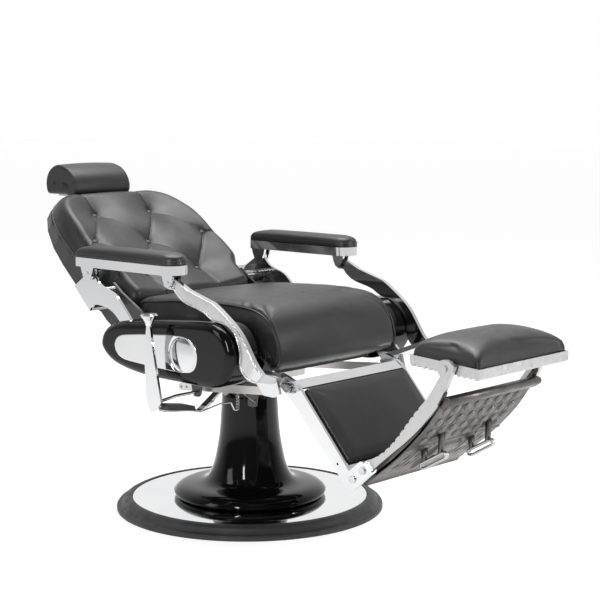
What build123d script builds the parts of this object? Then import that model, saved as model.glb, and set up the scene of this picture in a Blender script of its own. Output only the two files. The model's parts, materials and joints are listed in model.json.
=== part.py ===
from build123d import *
import os
from math import atan2, cos, degrees, hypot, radians, sin

# Hydraulic barber chair, millimetres. +Z is up, -Y is the sitter's forward, +X the sitter's left.
# The origin is on the floor, on the column's axis. Side profiles are drawn as (forward, up).

# Base and column
RING_R = 350                 # rubber ring's outer radius
PLATE_R = 316                # cast plate inside the ring
PLATE_H = 26
DISC_R = 309                 # polished cover disc
DISC_T = 4
FLANGE_R = 200               # foot of the column cover
COLUMN_TOP_R = 72.4
COLUMN_TOP_Z = 298
COVER_WALL = 3

# Pump
BORE_R = 40
CYLINDER_R = 50
CYLINDER_TOP_Z = 280
RAM_R = 28
RUNNING_FIT = 0.05
LIFT_GAP = 0.3

# Reclining linkage: four pivot pairs, all one span apart, so that the ratios are exactly 1
SPAN = 300
LEG_PIVOT = (215, 462)
BACK_PIVOT = (LEG_PIVOT[0] - SPAN, LEG_PIVOT[1])
ARM_FRONT_PIN = (44, 622)
ARM_REAR_PIN = (ARM_FRONT_PIN[0] - SPAN, ARM_FRONT_PIN[1])
TIE_FRONT_PIN = (297, 374)
TIE_REAR_PIN = (TIE_FRONT_PIN[0] - SPAN, TIE_FRONT_PIN[1])
OPEN_FIT = 0.6               # radial clearance of the pivots where the linkage is opened

# Layers from the middle outwards, as distances from the chair's middle plane
SEAT_HALF = 216
TIE_LAYER = (221, 229)
CRANK_LAYER = (231, 239)
RAIL_LAYER = (243, 251)
COVER_LAYER = (254, 345)
WING_LAYER = (309, 317)
POST_LAYER = (308, 320)
LEG_RAIL_LAYER = (190, 200)
FOOT_ARM_LAYER = (178, 189.7)
EAR_LAYERS = ((299, 306.5), (322, 329.5))

# Backrest: a plane through its lower button row
BACK_ANGLE = 36.3            # above the horizontal, as reclined
BACK_ORIGIN = (-294, 600)
CUSHION_FRONT = 22           # offsets from the back plane, forward
CUSHION_REAR = -28
BOARD_REAR = -40
BUTTON_R = 9

# Leg rest: a plane through the front edges of its rails
LEG_ANGLE = 48.5             # below the horizontal, as reclined
LEG_ORIGIN = (352, 394)
LEG_PAD_HALF = 186

# Armrests
ARM_INNER = 280
ARM_OUTER = 355
TRAY_BOTTOM = 642.5
TRAY_TOP = 665.5
PAD_TOP = 696

# Flip-up foot pad
FOOT_PIVOT = (777, 480)
FOOT_PAD_HALF = 175

PIN_R = 5
PIVOT_R = 8


def side_plane(x):
    """Plane of a side profile: local x is forward, local y is up, and it extrudes towards -X."""
    return Plane(origin=(x, 0, 0), x_dir=(0, -1, 0), z_dir=(-1, 0, 0))


def layer_plane(side, layer):
    """Side plane from which extruding by the layer's thickness fills it; side is -1 right, 1 left."""
    return side_plane(layer[1] if side > 0 else -layer[0])


def thickness(layer):
    return layer[1] - layer[0]


def spot(forward, up, x=0.0):
    """A point of a side profile as a model point."""
    return (x, -forward, up)


def across(forward, up, side, layer):
    """Location on a side pin's axis at the middle of a layer, with its axis along X."""
    return Location(spot(forward, up, side * (layer[0] + layer[1]) / 2), (0, 90, 0))


def outline(points):
    """A closed face from straight edges."""
    with BuildLine() as loop:
        Polyline(*points, close=True)
    make_face(loop.edges())


def curved_outline(points):
    """A closed face from one smooth loop."""
    with BuildLine() as loop:
        Spline(*points, periodic=True)
    make_face(loop.edges())


def drawn_in(points, amount):
    """A loop's points, each moved inwards by an amount; the loop runs clockwise."""
    moved = []
    for i, (forward, up) in enumerate(points):
        before = points[i - 1]
        after = points[(i + 1) % len(points)]
        run = (after[0] - before[0], after[1] - before[1])
        size = hypot(*run)
        moved.append((forward + run[1] / size * amount, up - run[0] / size * amount))
    return moved


def save(part, name):
    part.label = name
    export_step(part, f"parts/{name}.step")


def side_name(side):
    return "left" if side > 0 else "right"


back_sin = sin(radians(BACK_ANGLE))
back_cos = cos(radians(BACK_ANGLE))
BACK_PLANE = Plane(origin=spot(*BACK_ORIGIN), x_dir=(1, 0, 0), z_dir=(0, -back_sin, back_cos))


def on_back(along, out):
    """Side-profile point at a distance up the back and a distance out of its plane."""
    forward = BACK_ORIGIN[0] - along * back_cos + out * back_sin
    up = BACK_ORIGIN[1] + along * back_sin + out * back_cos
    return (forward, up)


leg_sin = sin(radians(LEG_ANGLE))
leg_cos = cos(radians(LEG_ANGLE))
LEG_PLANE = Plane(origin=spot(*LEG_ORIGIN), x_dir=(1, 0, 0), z_dir=(0, -leg_sin, leg_cos))


def on_leg(down, out):
    """Side-profile point at a distance down the leg rest and a distance out of its plane."""
    forward = LEG_ORIGIN[0] + down * leg_cos + out * leg_sin
    up = LEG_ORIGIN[1] - down * leg_sin + out * leg_cos
    return (forward, up)


os.makedirs("parts", exist_ok=True)

# ---------------------------------------------------------------- base

with BuildPart() as base_weight:
    Cylinder(PLATE_R, PLATE_H, align=(Align.CENTER, Align.CENTER, Align.MIN))
    chamfer(base_weight.faces().sort_by(Axis.Z)[-1].edges(), 2)
    with Locations((0, 0, PLATE_H)):
        with PolarLocations(70, 4, start_angle=45):
            Hole(5, depth=16)
save(base_weight.part, "base_weight")

with BuildPart() as base_disc:
    with BuildSketch(Plane.XZ):
        with Locations((90, PLATE_H)):
            Rectangle(DISC_R - 90, DISC_T, align=(Align.MIN, Align.MIN))
    revolve(axis=Axis.Z)
    fillet(base_disc.edges().filter_by(GeomType.CIRCLE).group_by(Axis.Z)[-1], 1.5)
save(base_disc.part, "base_disc")

with BuildPart() as base_ring:
    with BuildSketch(Plane.XZ):
        outline([(PLATE_R + 0.3, 0), (RING_R, 0), (RING_R, 8), (RING_R - 3, 12), (RING_R - 12, 14.5),
                 (RING_R - 16, 19), (RING_R - 21, 26), (RING_R - 30, 30.5), (DISC_R + 0.3, 32),
                 (DISC_R + 0.3, PLATE_H + 0.3), (PLATE_R + 0.3, PLATE_H + 0.3)])
    revolve(axis=Axis.Z)
save(base_ring.part, "base_rubber_ring")

bell_sweep = [(112, 79), (98.4, 105.5), (88, 146), (81.6, 182), (77, 226), (COLUMN_TOP_R, COLUMN_TOP_Z)]
bell_foot = PLATE_H + DISC_T
with BuildPart() as column_cover:
    with BuildSketch(Plane.XZ):
        with BuildLine():
            Line((0, bell_foot), (FLANGE_R - 15, bell_foot))
            ThreePointArc((FLANGE_R - 15, bell_foot), (FLANGE_R - 4, bell_foot + 5), (FLANGE_R, bell_foot + 15))
            Spline((FLANGE_R, bell_foot + 15), (FLANGE_R - 10, 56), (160, 65), (118, 74))
            Line((118, 74), bell_sweep[0])
            Spline(*bell_sweep)
            Polyline(bell_sweep[-1], (0, COLUMN_TOP_Z), (0, bell_foot))
        make_face()
    revolve(axis=Axis.Z)
    with BuildSketch(Plane.XZ):
        with BuildLine():
            Polyline((0, bell_foot - 1), (FLANGE_R - 18, bell_foot - 1), (FLANGE_R - 18, bell_foot + 3),
                     (FLANGE_R - 8, bell_foot + 9), (FLANGE_R - 4, bell_foot + 15))
            Spline((FLANGE_R - 4, bell_foot + 15), (185, 52), (155, 60.5), (114, 69))
            Line((114, 69), (107, 77))
            Spline((107, 77), (95, 104), (84.6, 145), (78.4, 181), (73.8, 225), (69.4, 290))
            Polyline((69.4, 290), (56, 290), (56, COLUMN_TOP_Z + 1), (0, COLUMN_TOP_Z + 1),
                     (0, bell_foot - 1))
        make_face()
    revolve(axis=Axis.Z, mode=Mode.SUBTRACT)
    fillet(column_cover.edges().filter_by(GeomType.CIRCLE).group_by(Axis.Z)[-1].sort_by(SortBy.RADIUS)[-1], 2)
save(column_cover.part, "column_cover")

with BuildPart() as pump_cylinder:
    with Locations((0, 0, PLATE_H)):
        Cylinder(86, 12, align=(Align.CENTER, Align.CENTER, Align.MIN))
        Cylinder(CYLINDER_R, CYLINDER_TOP_Z - PLATE_H, align=(Align.CENTER, Align.CENTER, Align.MIN))
    with Locations((0, 0, PLATE_H + 12)):
        Cylinder(BORE_R, CYLINDER_TOP_Z, align=(Align.CENTER, Align.CENTER, Align.MIN), mode=Mode.SUBTRACT)
    with Locations((0, 0, PLATE_H + 12)):
        with PolarLocations(70, 4, start_angle=45):
            Hole(5.5, depth=12)
save(pump_cylinder.part, "pump_cylinder")

with BuildPart() as cylinder_bolts:
    with Locations((0, 0, PLATE_H + 12)):
        with PolarLocations(70, 4, start_angle=45):
            Cylinder(4.9, 27, align=(Align.CENTER, Align.CENTER, Align.MAX))
    with BuildSketch(Plane.XY.offset(PLATE_H + 12)):
        with PolarLocations(70, 4, start_angle=45):
            RegularPolygon(9, 6)
    extrude(amount=7)
save(cylinder_bolts.part, "cylinder_bolts")

with BuildPart() as cylinder_bush:
    with Locations((0, 0, CYLINDER_TOP_Z)):
        Cylinder(BORE_R - 0.05, 26, align=(Align.CENTER, Align.CENTER, Align.MAX))
        Cylinder(CYLINDER_R, 8, align=(Align.CENTER, Align.CENTER, Align.MIN))
        Cylinder(RAM_R + RUNNING_FIT, 80, mode=Mode.SUBTRACT)
save(cylinder_bush.part, "cylinder_bush")

# ---------------------------------------------------------------- lift: what the pump raises

THRUST_Z = 292
HEAD_Z = 304.3
HEAD_TOP_Z = 352
with BuildPart() as ram:
    with Locations((0, 0, 85)):
        Cylinder(RAM_R, HEAD_TOP_Z - 12 - 85, align=(Align.CENTER, Align.CENTER, Align.MIN))
    with Locations((0, 0, 52)):
        Cylinder(20, 33, align=(Align.CENTER, Align.CENTER, Align.MIN))
    chamfer(ram.edges().filter_by(GeomType.CIRCLE).group_by(Axis.Z)[-1], 2)
save(ram.part, "ram")

with BuildPart() as piston:
    with BuildSketch(Plane.XZ):
        outline([(20.05, 60), (39.6, 60), (39.6, 68), (36, 68), (36, 76), (39.6, 76), (39.6, 84.9),
                 (20.05, 84.9)])
    revolve(axis=Axis.Z)
save(piston.part, "piston")

with BuildPart() as piston_seal:
    with BuildSketch(Plane.XZ):
        outline([(36.05, 68.1), (39.9, 68.1), (39.9, 75.9), (36.05, 75.9)])
    revolve(axis=Axis.Z)
save(piston_seal.part, "piston_seal")

with BuildPart() as thrust_bearing:
    with Locations((0, 0, THRUST_Z)):
        Cylinder(44, HEAD_Z - LIFT_GAP - THRUST_Z, align=(Align.CENTER, Align.CENTER, Align.MIN))
        Cylinder(RAM_R, 80, mode=Mode.SUBTRACT)
    fillet(thrust_bearing.edges().filter_by(GeomType.CIRCLE).group_by(SortBy.RADIUS)[-1], 1.5)
save(thrust_bearing.part, "thrust_bearing")

# ---------------------------------------------------------------- seat: pump head, frame, cushion

FORK_PIVOT = (-112, 338)     # pedal's hinge, as (x, z), with its axis along Y
PEDAL_Y = -60
SLOT_R = 61                  # arc slot in the head's lug, in which the spring's tail hangs
with BuildPart() as pump_head:
    with BuildSketch(Plane.XZ):
        outline([(0, HEAD_Z), (62, HEAD_Z), (66, HEAD_Z + 4), (66, 330), (58, 338), (58, HEAD_TOP_Z),
                 (0, HEAD_TOP_Z)])
    revolve(axis=Axis.Z)
    with Locations((0, 0, HEAD_Z)):
        Cylinder(RAM_R + RUNNING_FIT, HEAD_TOP_Z - 10 - HEAD_Z,
                 align=(Align.CENTER, Align.CENTER, Align.MIN), mode=Mode.SUBTRACT)
    for ear in (PEDAL_Y - 19, PEDAL_Y + 19):
        with BuildSketch(Plane.XZ.offset(-ear - 4)):
            with BuildLine():
                Polyline((-20, 314), (FORK_PIVOT[0], 328), (FORK_PIVOT[0], 348), (-20, 351), (-20, 314))
            make_face()
            with Locations(FORK_PIVOT):
                Circle(10)
        extrude(amount=8)
    with Locations((-46, PEDAL_Y + 2, 332)):
        Box(52, 50, 32)
    with Locations(Location((FORK_PIVOT[0], PEDAL_Y, FORK_PIVOT[1]), (90, 0, 0))):
        Cylinder(PIN_R, 60, mode=Mode.SUBTRACT)
    with BuildSketch(Plane.XZ.offset(-(PEDAL_Y - 19) - 4)):
        outline([(-82, 332), (-84, 288), (-76, 283), (-58, 283), (-48, 332)])
    extrude(amount=8)
    with BuildSketch(Plane.XZ.offset(-(PEDAL_Y - 19) - 4)):
        with BuildLine():
            CenterArc(FORK_PIVOT, SLOT_R, -48, 14)
        trace(line_width=3)
    extrude(amount=8, mode=Mode.SUBTRACT)
save(pump_head.part, "pump_head")

with BuildPart() as fork_pin:
    with Locations(Location((FORK_PIVOT[0], PEDAL_Y, FORK_PIVOT[1]), (90, 0, 0))):
        Cylinder(PIN_R, 52)
    with Locations(Location((FORK_PIVOT[0], PEDAL_Y - 28, FORK_PIVOT[1]), (90, 0, 0))):
        Cylinder(8, 4)
save(fork_pin.part, "fork_pin")

BEAM_Z = 372
BEAM = 30
BEAM_FORWARD = (-125, 105)
with BuildPart() as mount_plate:
    with BuildSketch(Plane.XY.offset(HEAD_TOP_Z)):
        with Locations((0, 10)):
            RectangleRounded(190, 262, 20)
    extrude(amount=BEAM_Z - HEAD_TOP_Z)
    with Locations((0, 0, BEAM_Z)):
        with PolarLocations(45, 4, start_angle=45):
            CounterSinkHole(4.5, 9)
save(mount_plate.part, "mount_plate")

HAND_PIVOT = (60, 345)       # hand lever's shaft, (forward, up)
SHAFT_R = 4
with BuildPart() as seat_frame:
    for side in (-1, 1):
        with BuildSketch(layer_plane(side, RAIL_LAYER)):
            outline([(-142, BEAM_Z), (-142, 430), (-112, 484), (-60, 490), (188, 492), (232, 488),
                     (240, 462), (228, 436), (190, 425), (130, BEAM_Z)])
        extrude(amount=thickness(RAIL_LAYER))
    for forward in BEAM_FORWARD:
        with Locations(spot(forward, BEAM_Z + BEAM / 2)):
            Box(2 * RAIL_LAYER[0], BEAM, BEAM)
            Box(2 * RAIL_LAYER[0], BEAM - 6, BEAM - 6, mode=Mode.SUBTRACT)
    with BuildSketch(layer_plane(-1, RAIL_LAYER)):
        outline([(40, BEAM_Z + 10), (80, BEAM_Z + 10), (72, HAND_PIVOT[1] - 6), (66, HAND_PIVOT[1] - 12),
                 (54, HAND_PIVOT[1] - 12), (48, HAND_PIVOT[1] - 6)])
    extrude(amount=thickness(RAIL_LAYER))
    with Locations(across(*HAND_PIVOT, -1, RAIL_LAYER)):
        Cylinder(SHAFT_R + RUNNING_FIT, 12, mode=Mode.SUBTRACT)
    for side in (-1, 1):
        for pivot in (BACK_PIVOT, LEG_PIVOT):
            with Locations(across(*pivot, side, RAIL_LAYER)):
                Cylinder(PIVOT_R, 12, mode=Mode.SUBTRACT)
save(seat_frame.part, "seat_frame")

with BuildPart() as pivot_pins:
    for side in (-1, 1):
        for pivot, outer in ((BACK_PIVOT, WING_LAYER[1] + 2), (LEG_PIVOT, RAIL_LAYER[1] + 2)):
            with Locations(across(*pivot, side, (CRANK_LAYER[0] - 1, outer))):
                Cylinder(PIVOT_R, outer - CRANK_LAYER[0] + 1)
            with Locations(across(*pivot, side, (CRANK_LAYER[0] - 6, CRANK_LAYER[0] - 1))):
                Cylinder(PIVOT_R + 4, 5)
save(pivot_pins.part, "pivot_pins")

BOARD_Z = BEAM_Z + BEAM
with BuildPart() as seat_board:
    with BuildSketch(Plane.XY.offset(BOARD_Z)):
        with Locations((0, -45)):
            RectangleRounded(400, 410, 25)
    extrude(amount=12)
save(seat_board.part, "seat_board")

SEAT_REAR_R = 134            # the seat's rear end is an arc about the back's pivot
seat_bottom = BOARD_Z + 12


def about_back_pivot(angle):
    """Point of the seat's rear arc at an angle above straight forward."""
    a = radians(angle)
    return (BACK_PIVOT[0] + SEAT_REAR_R * cos(a), BACK_PIVOT[1] + SEAT_REAR_R * sin(a))


with BuildPart() as seat_cushion:
    with BuildSketch(side_plane(SEAT_HALF)):
        with BuildLine():
            rear = ThreePointArc(about_back_pivot(138), about_back_pivot(168), about_back_pivot(200))
            top = Spline(rear @ 0, (-122, 559.5), (20, 571), (155, 574), (236, 567), (290, 538),
                         (314, 492), (321, 452), (313, 428))
            Polyline(top @ 1, (292, 424), (272, seat_bottom), rear @ 1)
        make_face()
    extrude(amount=2 * SEAT_HALF)
save(seat_cushion.part, "seat_cushion")

# Glossy side covers: hollow pods, open towards the seat, with a slot for the wing bracket
COVER_LOOP = [(-195, 455), (-181, 486), (-142, 508), (-70, 519), (7, 528), (90, 535), (163, 540),
              (208, 538), (240, 526), (262, 504), (274, 476), (273, 448), (260, 420), (241, 397),
              (212, 385), (150, 382), (91, 383), (-30, 386), (-110, 396), (-156, 410), (-185, 431)]
COVER_SHELL = 4
COVER_ROUND = 20
INSET_LOOP = [(-134, 458), (-114, 479), (-59, 488), (14, 495), (88, 500), (134, 496), (159, 476),
              (162, 445), (149, 420), (116, 411), (46, 412), (-44, 416), (-102, 421), (-127, 435)]
INSET_SEAT = 1.5
for side in (-1, 1):
    with BuildPart() as side_cover:
        with BuildSketch(layer_plane(side, COVER_LAYER)):
            curved_outline(COVER_LOOP)
        extrude(amount=thickness(COVER_LAYER))
        fillet(side_cover.faces().sort_by(Axis.X)[-1 if side > 0 else 0].edges(), COVER_ROUND)
        for hollow_layer, wall in (((COVER_LAYER[0] - 1, COVER_LAYER[1] - COVER_ROUND), COVER_SHELL),
                                   ((COVER_LAYER[1] - COVER_ROUND, COVER_LAYER[1] - COVER_SHELL),
                                    COVER_ROUND)):
            with BuildSketch(layer_plane(side, hollow_layer)):
                curved_outline(drawn_in(COVER_LOOP, wall))
            extrude(amount=thickness(hollow_layer), mode=Mode.SUBTRACT)
        slot_layer = (WING_LAYER[0] - 3, WING_LAYER[1] + 3)
        with BuildSketch(layer_plane(side, slot_layer)):
            outline([(-190, 478), (-150, 560), (-30, 560), (-30, 500), (-110, 490)])
        extrude(amount=thickness(slot_layer), mode=Mode.SUBTRACT)
        inset_layer = (COVER_LAYER[1] - INSET_SEAT, COVER_LAYER[1] + 1)
        with BuildSketch(layer_plane(side, inset_layer)):
            curved_outline(INSET_LOOP)
        extrude(amount=thickness(inset_layer), mode=Mode.SUBTRACT)
        for boss in ((-30, 440), (130, 440)):
            boss_layer = (RAIL_LAYER[1], COVER_LAYER[1] - COVER_SHELL)
            with Locations(across(*boss, side, boss_layer)):
                Cylinder(8, thickness(boss_layer))
    save(side_cover.part, f"side_cover_{side_name(side)}")

    inlay_layer = (COVER_LAYER[1] - INSET_SEAT, COVER_LAYER[1] + 1)
    with BuildPart() as cover_inset:
        with BuildSketch(layer_plane(side, inlay_layer)):
            curved_outline(drawn_in(INSET_LOOP, 0.3))
        extrude(amount=thickness(inlay_layer))
    save(cover_inset.part, f"cover_inset_{side_name(side)}")

# Pump pedal: a flat arm that dips under the tie bar, with a bent rod for the spring
ROD_Y = PEDAL_Y - 28.5
with BuildPart() as pedal_arm:
    with BuildSketch(Plane.XZ.offset(-PEDAL_Y - 10)):
        outline([(-104, 334), (-104, 342), (-168, 343), (-238, 300), (-246, 299), (-366, 318), (-367, 313),
                 (-246, 293), (-236, 293), (-164, 336)])
        with Locations(FORK_PIVOT):
            Circle(10)
    extrude(amount=20)
    with Locations(Location((FORK_PIVOT[0], PEDAL_Y, FORK_PIVOT[1]), (90, 0, 0))):
        Cylinder(PIN_R + RUNNING_FIT, 40, mode=Mode.SUBTRACT)
    with BuildLine() as rod_path:
        FilletPolyline((-262, PEDAL_Y - 6, 299), (-262, ROD_Y, 301), (-195, ROD_Y, 311),
                       (-158, ROD_Y, 308), (-146, ROD_Y, 287), (-136, ROD_Y, 286), radius=4)
    with BuildSketch(Plane(origin=rod_path.line @ 0, z_dir=rod_path.line % 0)):
        Circle(2)
    sweep(path=rod_path.line)
save(pedal_arm.part, "pedal_arm")

with BuildPart() as pedal_pad:
    with BuildSketch(Plane.XZ.offset(-PEDAL_Y - 22)):
        outline([(-273, 304), (-275, 315), (-280, 318), (-360, 331), (-366, 328), (-366, 318.3),
                 (-320, 311)])
    extrude(amount=44)
save(pedal_pad.part, "pedal_pad")

# Return spring: a close coil hooked on the rod, with a tail through the lug's arc slot
COIL_R = 3.4
WIRE_R = 0.9
COIL_FROM = (-133.9, 286)
COIL_TO = (-80, 292)
TAIL = (FORK_PIVOT[0] + SLOT_R * cos(radians(-46)), FORK_PIVOT[1] + SLOT_R * sin(radians(-46)))
coil_vector = Vector(COIL_TO[0] - COIL_FROM[0], 0, COIL_TO[1] - COIL_FROM[1])
with BuildPart() as return_spring:
    with BuildLine(Plane(origin=(COIL_FROM[0], ROD_Y, COIL_FROM[1]), z_dir=coil_vector)) as coil:
        Helix(pitch=4, height=coil_vector.length, radius=COIL_R)
    with BuildSketch(Plane(origin=coil.line @ 0, z_dir=coil.line % 0)):
        Circle(WIRE_R)
    sweep(path=coil.line, is_frenet=True)
    with BuildLine() as tail_line:
        FilletPolyline(coil.line @ 1, (TAIL[0], ROD_Y, TAIL[1]), (TAIL[0], PEDAL_Y - 12, TAIL[1]), radius=2)
    with BuildSketch(Plane(origin=tail_line.line @ 0, z_dir=tail_line.line % 0)):
        Circle(WIRE_R)
    sweep(path=tail_line.line)
    with BuildLine() as hook_line:
        Polyline(coil.line @ 0, (COIL_FROM[0], ROD_Y, COIL_FROM[1]))
    with BuildSketch(Plane(origin=hook_line.line @ 0, z_dir=hook_line.line % 0)):
        Circle(WIRE_R)
    sweep(path=hook_line.line)
save(return_spring.part, "return_spring")

# Hand lever: a blade beside the right cover, on a cranked shaft that runs in the frame's hanger
BLADE_LAYER = (376, 383)
BLADE_MIDDLE = (BLADE_LAYER[0] + BLADE_LAYER[1]) / 2
with BuildPart() as hand_lever:
    with BuildSketch(layer_plane(-1, BLADE_LAYER)):
        outline([(38, 311), (66, 325), (76, 338), (49, 460), (40, 519), (27, 519), (18, 460), (24, 338)])
    extrude(amount=thickness(BLADE_LAYER))
    with BuildLine() as shaft_line:
        FilletPolyline(spot(*HAND_PIVOT, -238), spot(*HAND_PIVOT, -318), spot(HAND_PIVOT[0] - 8, 338, -352),
                       spot(HAND_PIVOT[0] - 8, 337, -BLADE_MIDDLE), radius=10)
    with BuildSketch(Plane(origin=shaft_line.line @ 0, z_dir=shaft_line.line % 0)):
        Circle(SHAFT_R)
    sweep(path=shaft_line.line)
save(hand_lever.part, "hand_lever")

KNOB_FOOT = 519.2
with BuildPart() as lever_knob:
    with BuildSketch(Plane.XZ):
        with BuildLine():
            Polyline((0, 0), (6, 0), (8, 3))
            Spline((8, 3), (10.5, 12), (18, 23), (22, 28))
            Polyline((22, 28), (18, 32), (0, 33), (0, 0))
        make_face()
    revolve(axis=Axis.Z)
lever_knob.part.locate(Location(spot(33, KNOB_FOOT, -BLADE_MIDDLE)))
save(lever_knob.part, "lever_knob")

# ---------------------------------------------------------------- back

BACK_HALF = 250
BACK_FOOT_HALF = 226
back_half_loop = [(0, -112), (150, -112), (196, -106), (220, -88), (BACK_FOOT_HALF, -60),
                  (BACK_FOOT_HALF, -30), (236, -16), (BACK_HALF, 4), (BACK_HALF, 140), (245, 200),
                  (228, 262), (204, 306), (168, 330), (120, 337), (0, 338)]


def back_loop(inset):
    """The backrest's outline in its own plane, drawn in towards its middle by an inset."""
    half = []
    for w, along in back_half_loop:
        w_in = max(w - inset, 0)
        along_in = along + inset if along < -80 else along
        along_in = along - inset if along > 250 else along_in
        half.append((w_in, along_in))
    return half + [(-w, along) for w, along in reversed(half[1:-1])]


BUTTONS = ((0, 118, 5), (-197.5, 119, 17), (197.5, 119, 17), (-98, 0, 0), (98, 0, 0),
           (-100.5, 247, 0), (100.5, 247, 0))
BUTTON_T = 5
with BuildPart() as back_cushion:
    with BuildSketch(BACK_PLANE.offset(CUSHION_REAR)):
        outline(back_loop(0))
    extrude(amount=CUSHION_FRONT - CUSHION_REAR)
    for w, along, out in BUTTONS:
        with BuildSketch(BACK_PLANE.offset(out - BUTTON_T - 0.3)):
            with Locations((w, along)):
                Circle(BUTTON_R + 3)
        extrude(amount=CUSHION_FRONT - out + 10, mode=Mode.SUBTRACT)
save(back_cushion.part, "back_cushion")

with BuildPart() as tuft_buttons:
    for w, along, out in BUTTONS:
        with BuildSketch(BACK_PLANE.offset(out - BUTTON_T)):
            with Locations((w, along)):
                Circle(BUTTON_R)
        extrude(amount=BUTTON_T)
save(tuft_buttons.part, "tuft_buttons")

SHELL_WALL = 4
SHELL_RIM = 8                # the shell's edge wall, which the board sits inside
SHELL_LEDGE = 14             # inner edge of the ledge behind the board
with BuildPart() as back_board:
    with BuildSketch(BACK_PLANE.offset(BOARD_REAR)):
        outline(back_loop(SHELL_RIM + 0.3))
        with Locations((0, -62)):
            Rectangle(2 * CRANK_LAYER[0], 56)
    extrude(amount=CUSHION_REAR - 0.3 - BOARD_REAR)
save(back_board.part, "back_board")

# Rear shell: a hollow pan, deeper towards its foot, closed by the board
SHELL_TOP_OUT = -50
SHELL_FOOT_OUT = -104
shell_top = on_back(338, SHELL_TOP_OUT)
shell_foot = on_back(-112, SHELL_FOOT_OUT)
slant = Vector(spot(*shell_top)) - Vector(spot(*shell_foot))
REAR_PLANE = Plane(origin=spot(*shell_top), x_dir=(1, 0, 0), z_dir=Vector(1, 0, 0).cross(slant))
with BuildPart() as shell_core:
    with BuildSketch(BACK_PLANE.offset(CUSHION_REAR)):
        outline(back_loop(SHELL_RIM))
        with Locations((0, -62)):
            Rectangle(2 * CRANK_LAYER[0] + 2, 57)
    extrude(amount=BOARD_REAR - CUSHION_REAR)
    with BuildSketch(BACK_PLANE.offset(BOARD_REAR)):
        outline(back_loop(SHELL_LEDGE))
    extrude(amount=-8)
    with BuildSketch(BACK_PLANE.offset(BOARD_REAR - 8)):
        outline(back_loop(SHELL_RIM))
    extrude(amount=-90)
    split(bisect_by=REAR_PLANE.offset(SHELL_WALL), keep=Keep.TOP)
with BuildPart() as back_shell:
    with BuildSketch(BACK_PLANE.offset(CUSHION_REAR - 0.3)):
        outline(back_loop(0))
    extrude(amount=-100)
    split(bisect_by=REAR_PLANE, keep=Keep.TOP)
    add(shell_core.part, mode=Mode.SUBTRACT)
save(back_shell.part, "back_shell")

WING_BOLTS = ((-275, 560), (-255, 575))
WING_BOLT_R = 4

# Hinge plates: from the tie bar's stud, over the back's pivot, to the board's foot
for side in (-1, 1):
    with BuildPart() as back_hinge:
        with BuildSketch(layer_plane(side, CRANK_LAYER)):
            outline([on_back(-95, -60), on_back(-32, -60), on_back(-32, 12), on_back(-70, 12),
                     (-73, 478), (8, 381), (-12, 364), (-100, 449)])
            with Locations(BACK_PIVOT):
                Circle(20)
            with Locations(TIE_REAR_PIN):
                Circle(13)
        extrude(amount=thickness(CRANK_LAYER))
        with Locations(across(*BACK_PIVOT, side, CRANK_LAYER)):
            Cylinder(PIVOT_R + RUNNING_FIT, 12, mode=Mode.SUBTRACT)
        for bolt in WING_BOLTS:
            with Locations(across(*bolt, side, CRANK_LAYER)):
                Cylinder(WING_BOLT_R + RUNNING_FIT, 12, mode=Mode.SUBTRACT)
        stud_layer = (TIE_LAYER[0] - 1, CRANK_LAYER[0])
        with Locations(across(*TIE_REAR_PIN, side, stud_layer)):
            Cylinder(PIN_R, thickness(stud_layer))
    save(back_hinge.part, f"back_hinge_{side_name(side)}")

# Wing brackets: polished plates from the back's side up to the armrest and down to the pivot
for side in (-1, 1):
    with BuildPart() as wing_bracket:
        with BuildSketch(layer_plane(side, WING_LAYER)):
            with BuildLine() as wing_line:
                Polyline((-240, 615), (-272, 615), (-287, 608), (-322, 584), (-262, 524))
                Spline((-262, 524), (-250, 539), (-220, 542), (-176, 531), (-150, 512), (-125, 485), (-100, 448))
                Polyline((-100, 448), (-72, 448), (-70, 480))
                Spline((-70, 480), (-106, 517), (-140, 553), (-166, 575), (-210, 590), (-240, 615))
            make_face(wing_line.edges())
            with Locations(ARM_REAR_PIN):
                Circle(17)
            with Locations(BACK_PIVOT):
                Circle(20)
        extrude(amount=thickness(WING_LAYER))
        flange_layer = (BACK_HALF + 0.3, WING_LAYER[0])
        with BuildSketch(layer_plane(side, flange_layer)):
            outline([(-322, 584), (-262, 524), (-257, 531), (-316, 590)])
        extrude(amount=thickness(flange_layer))
        with Locations(across(*BACK_PIVOT, side, WING_LAYER)):
            Cylinder(PIVOT_R + RUNNING_FIT, 20, mode=Mode.SUBTRACT)
        with Locations(across(*ARM_REAR_PIN, side, WING_LAYER)):
            Cylinder(PIN_R + OPEN_FIT, 20, mode=Mode.SUBTRACT)
        for bolt in WING_BOLTS:
            with Locations(across(*bolt, side, (flange_layer[0] - 1, WING_LAYER[1] - 2))):
                Cylinder(WING_BOLT_R + RUNNING_FIT, WING_LAYER[1] - 1 - flange_layer[0], mode=Mode.SUBTRACT)
    save(wing_bracket.part, f"wing_bracket_{side_name(side)}")

with BuildPart() as wing_bolts:
    for side in (-1, 1):
        for bolt in WING_BOLTS:
            spacer_layer = (CRANK_LAYER[1], WING_LAYER[0])
            with Locations(across(*bolt, side, spacer_layer)):
                Cylinder(WING_BOLT_R + 3, thickness(spacer_layer))
            shank_layer = (CRANK_LAYER[0] - 3, WING_LAYER[1] - 2)
            with Locations(across(*bolt, side, shank_layer)):
                Cylinder(WING_BOLT_R, thickness(shank_layer))
            head_layer = (CRANK_LAYER[0] - 3, CRANK_LAYER[0])
            with Locations(across(*bolt, side, head_layer)):
                Cylinder(WING_BOLT_R + 2, thickness(head_layer))
save(wing_bolts.part, "wing_bolts")

# ---------------------------------------------------------------- headrest

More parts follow.
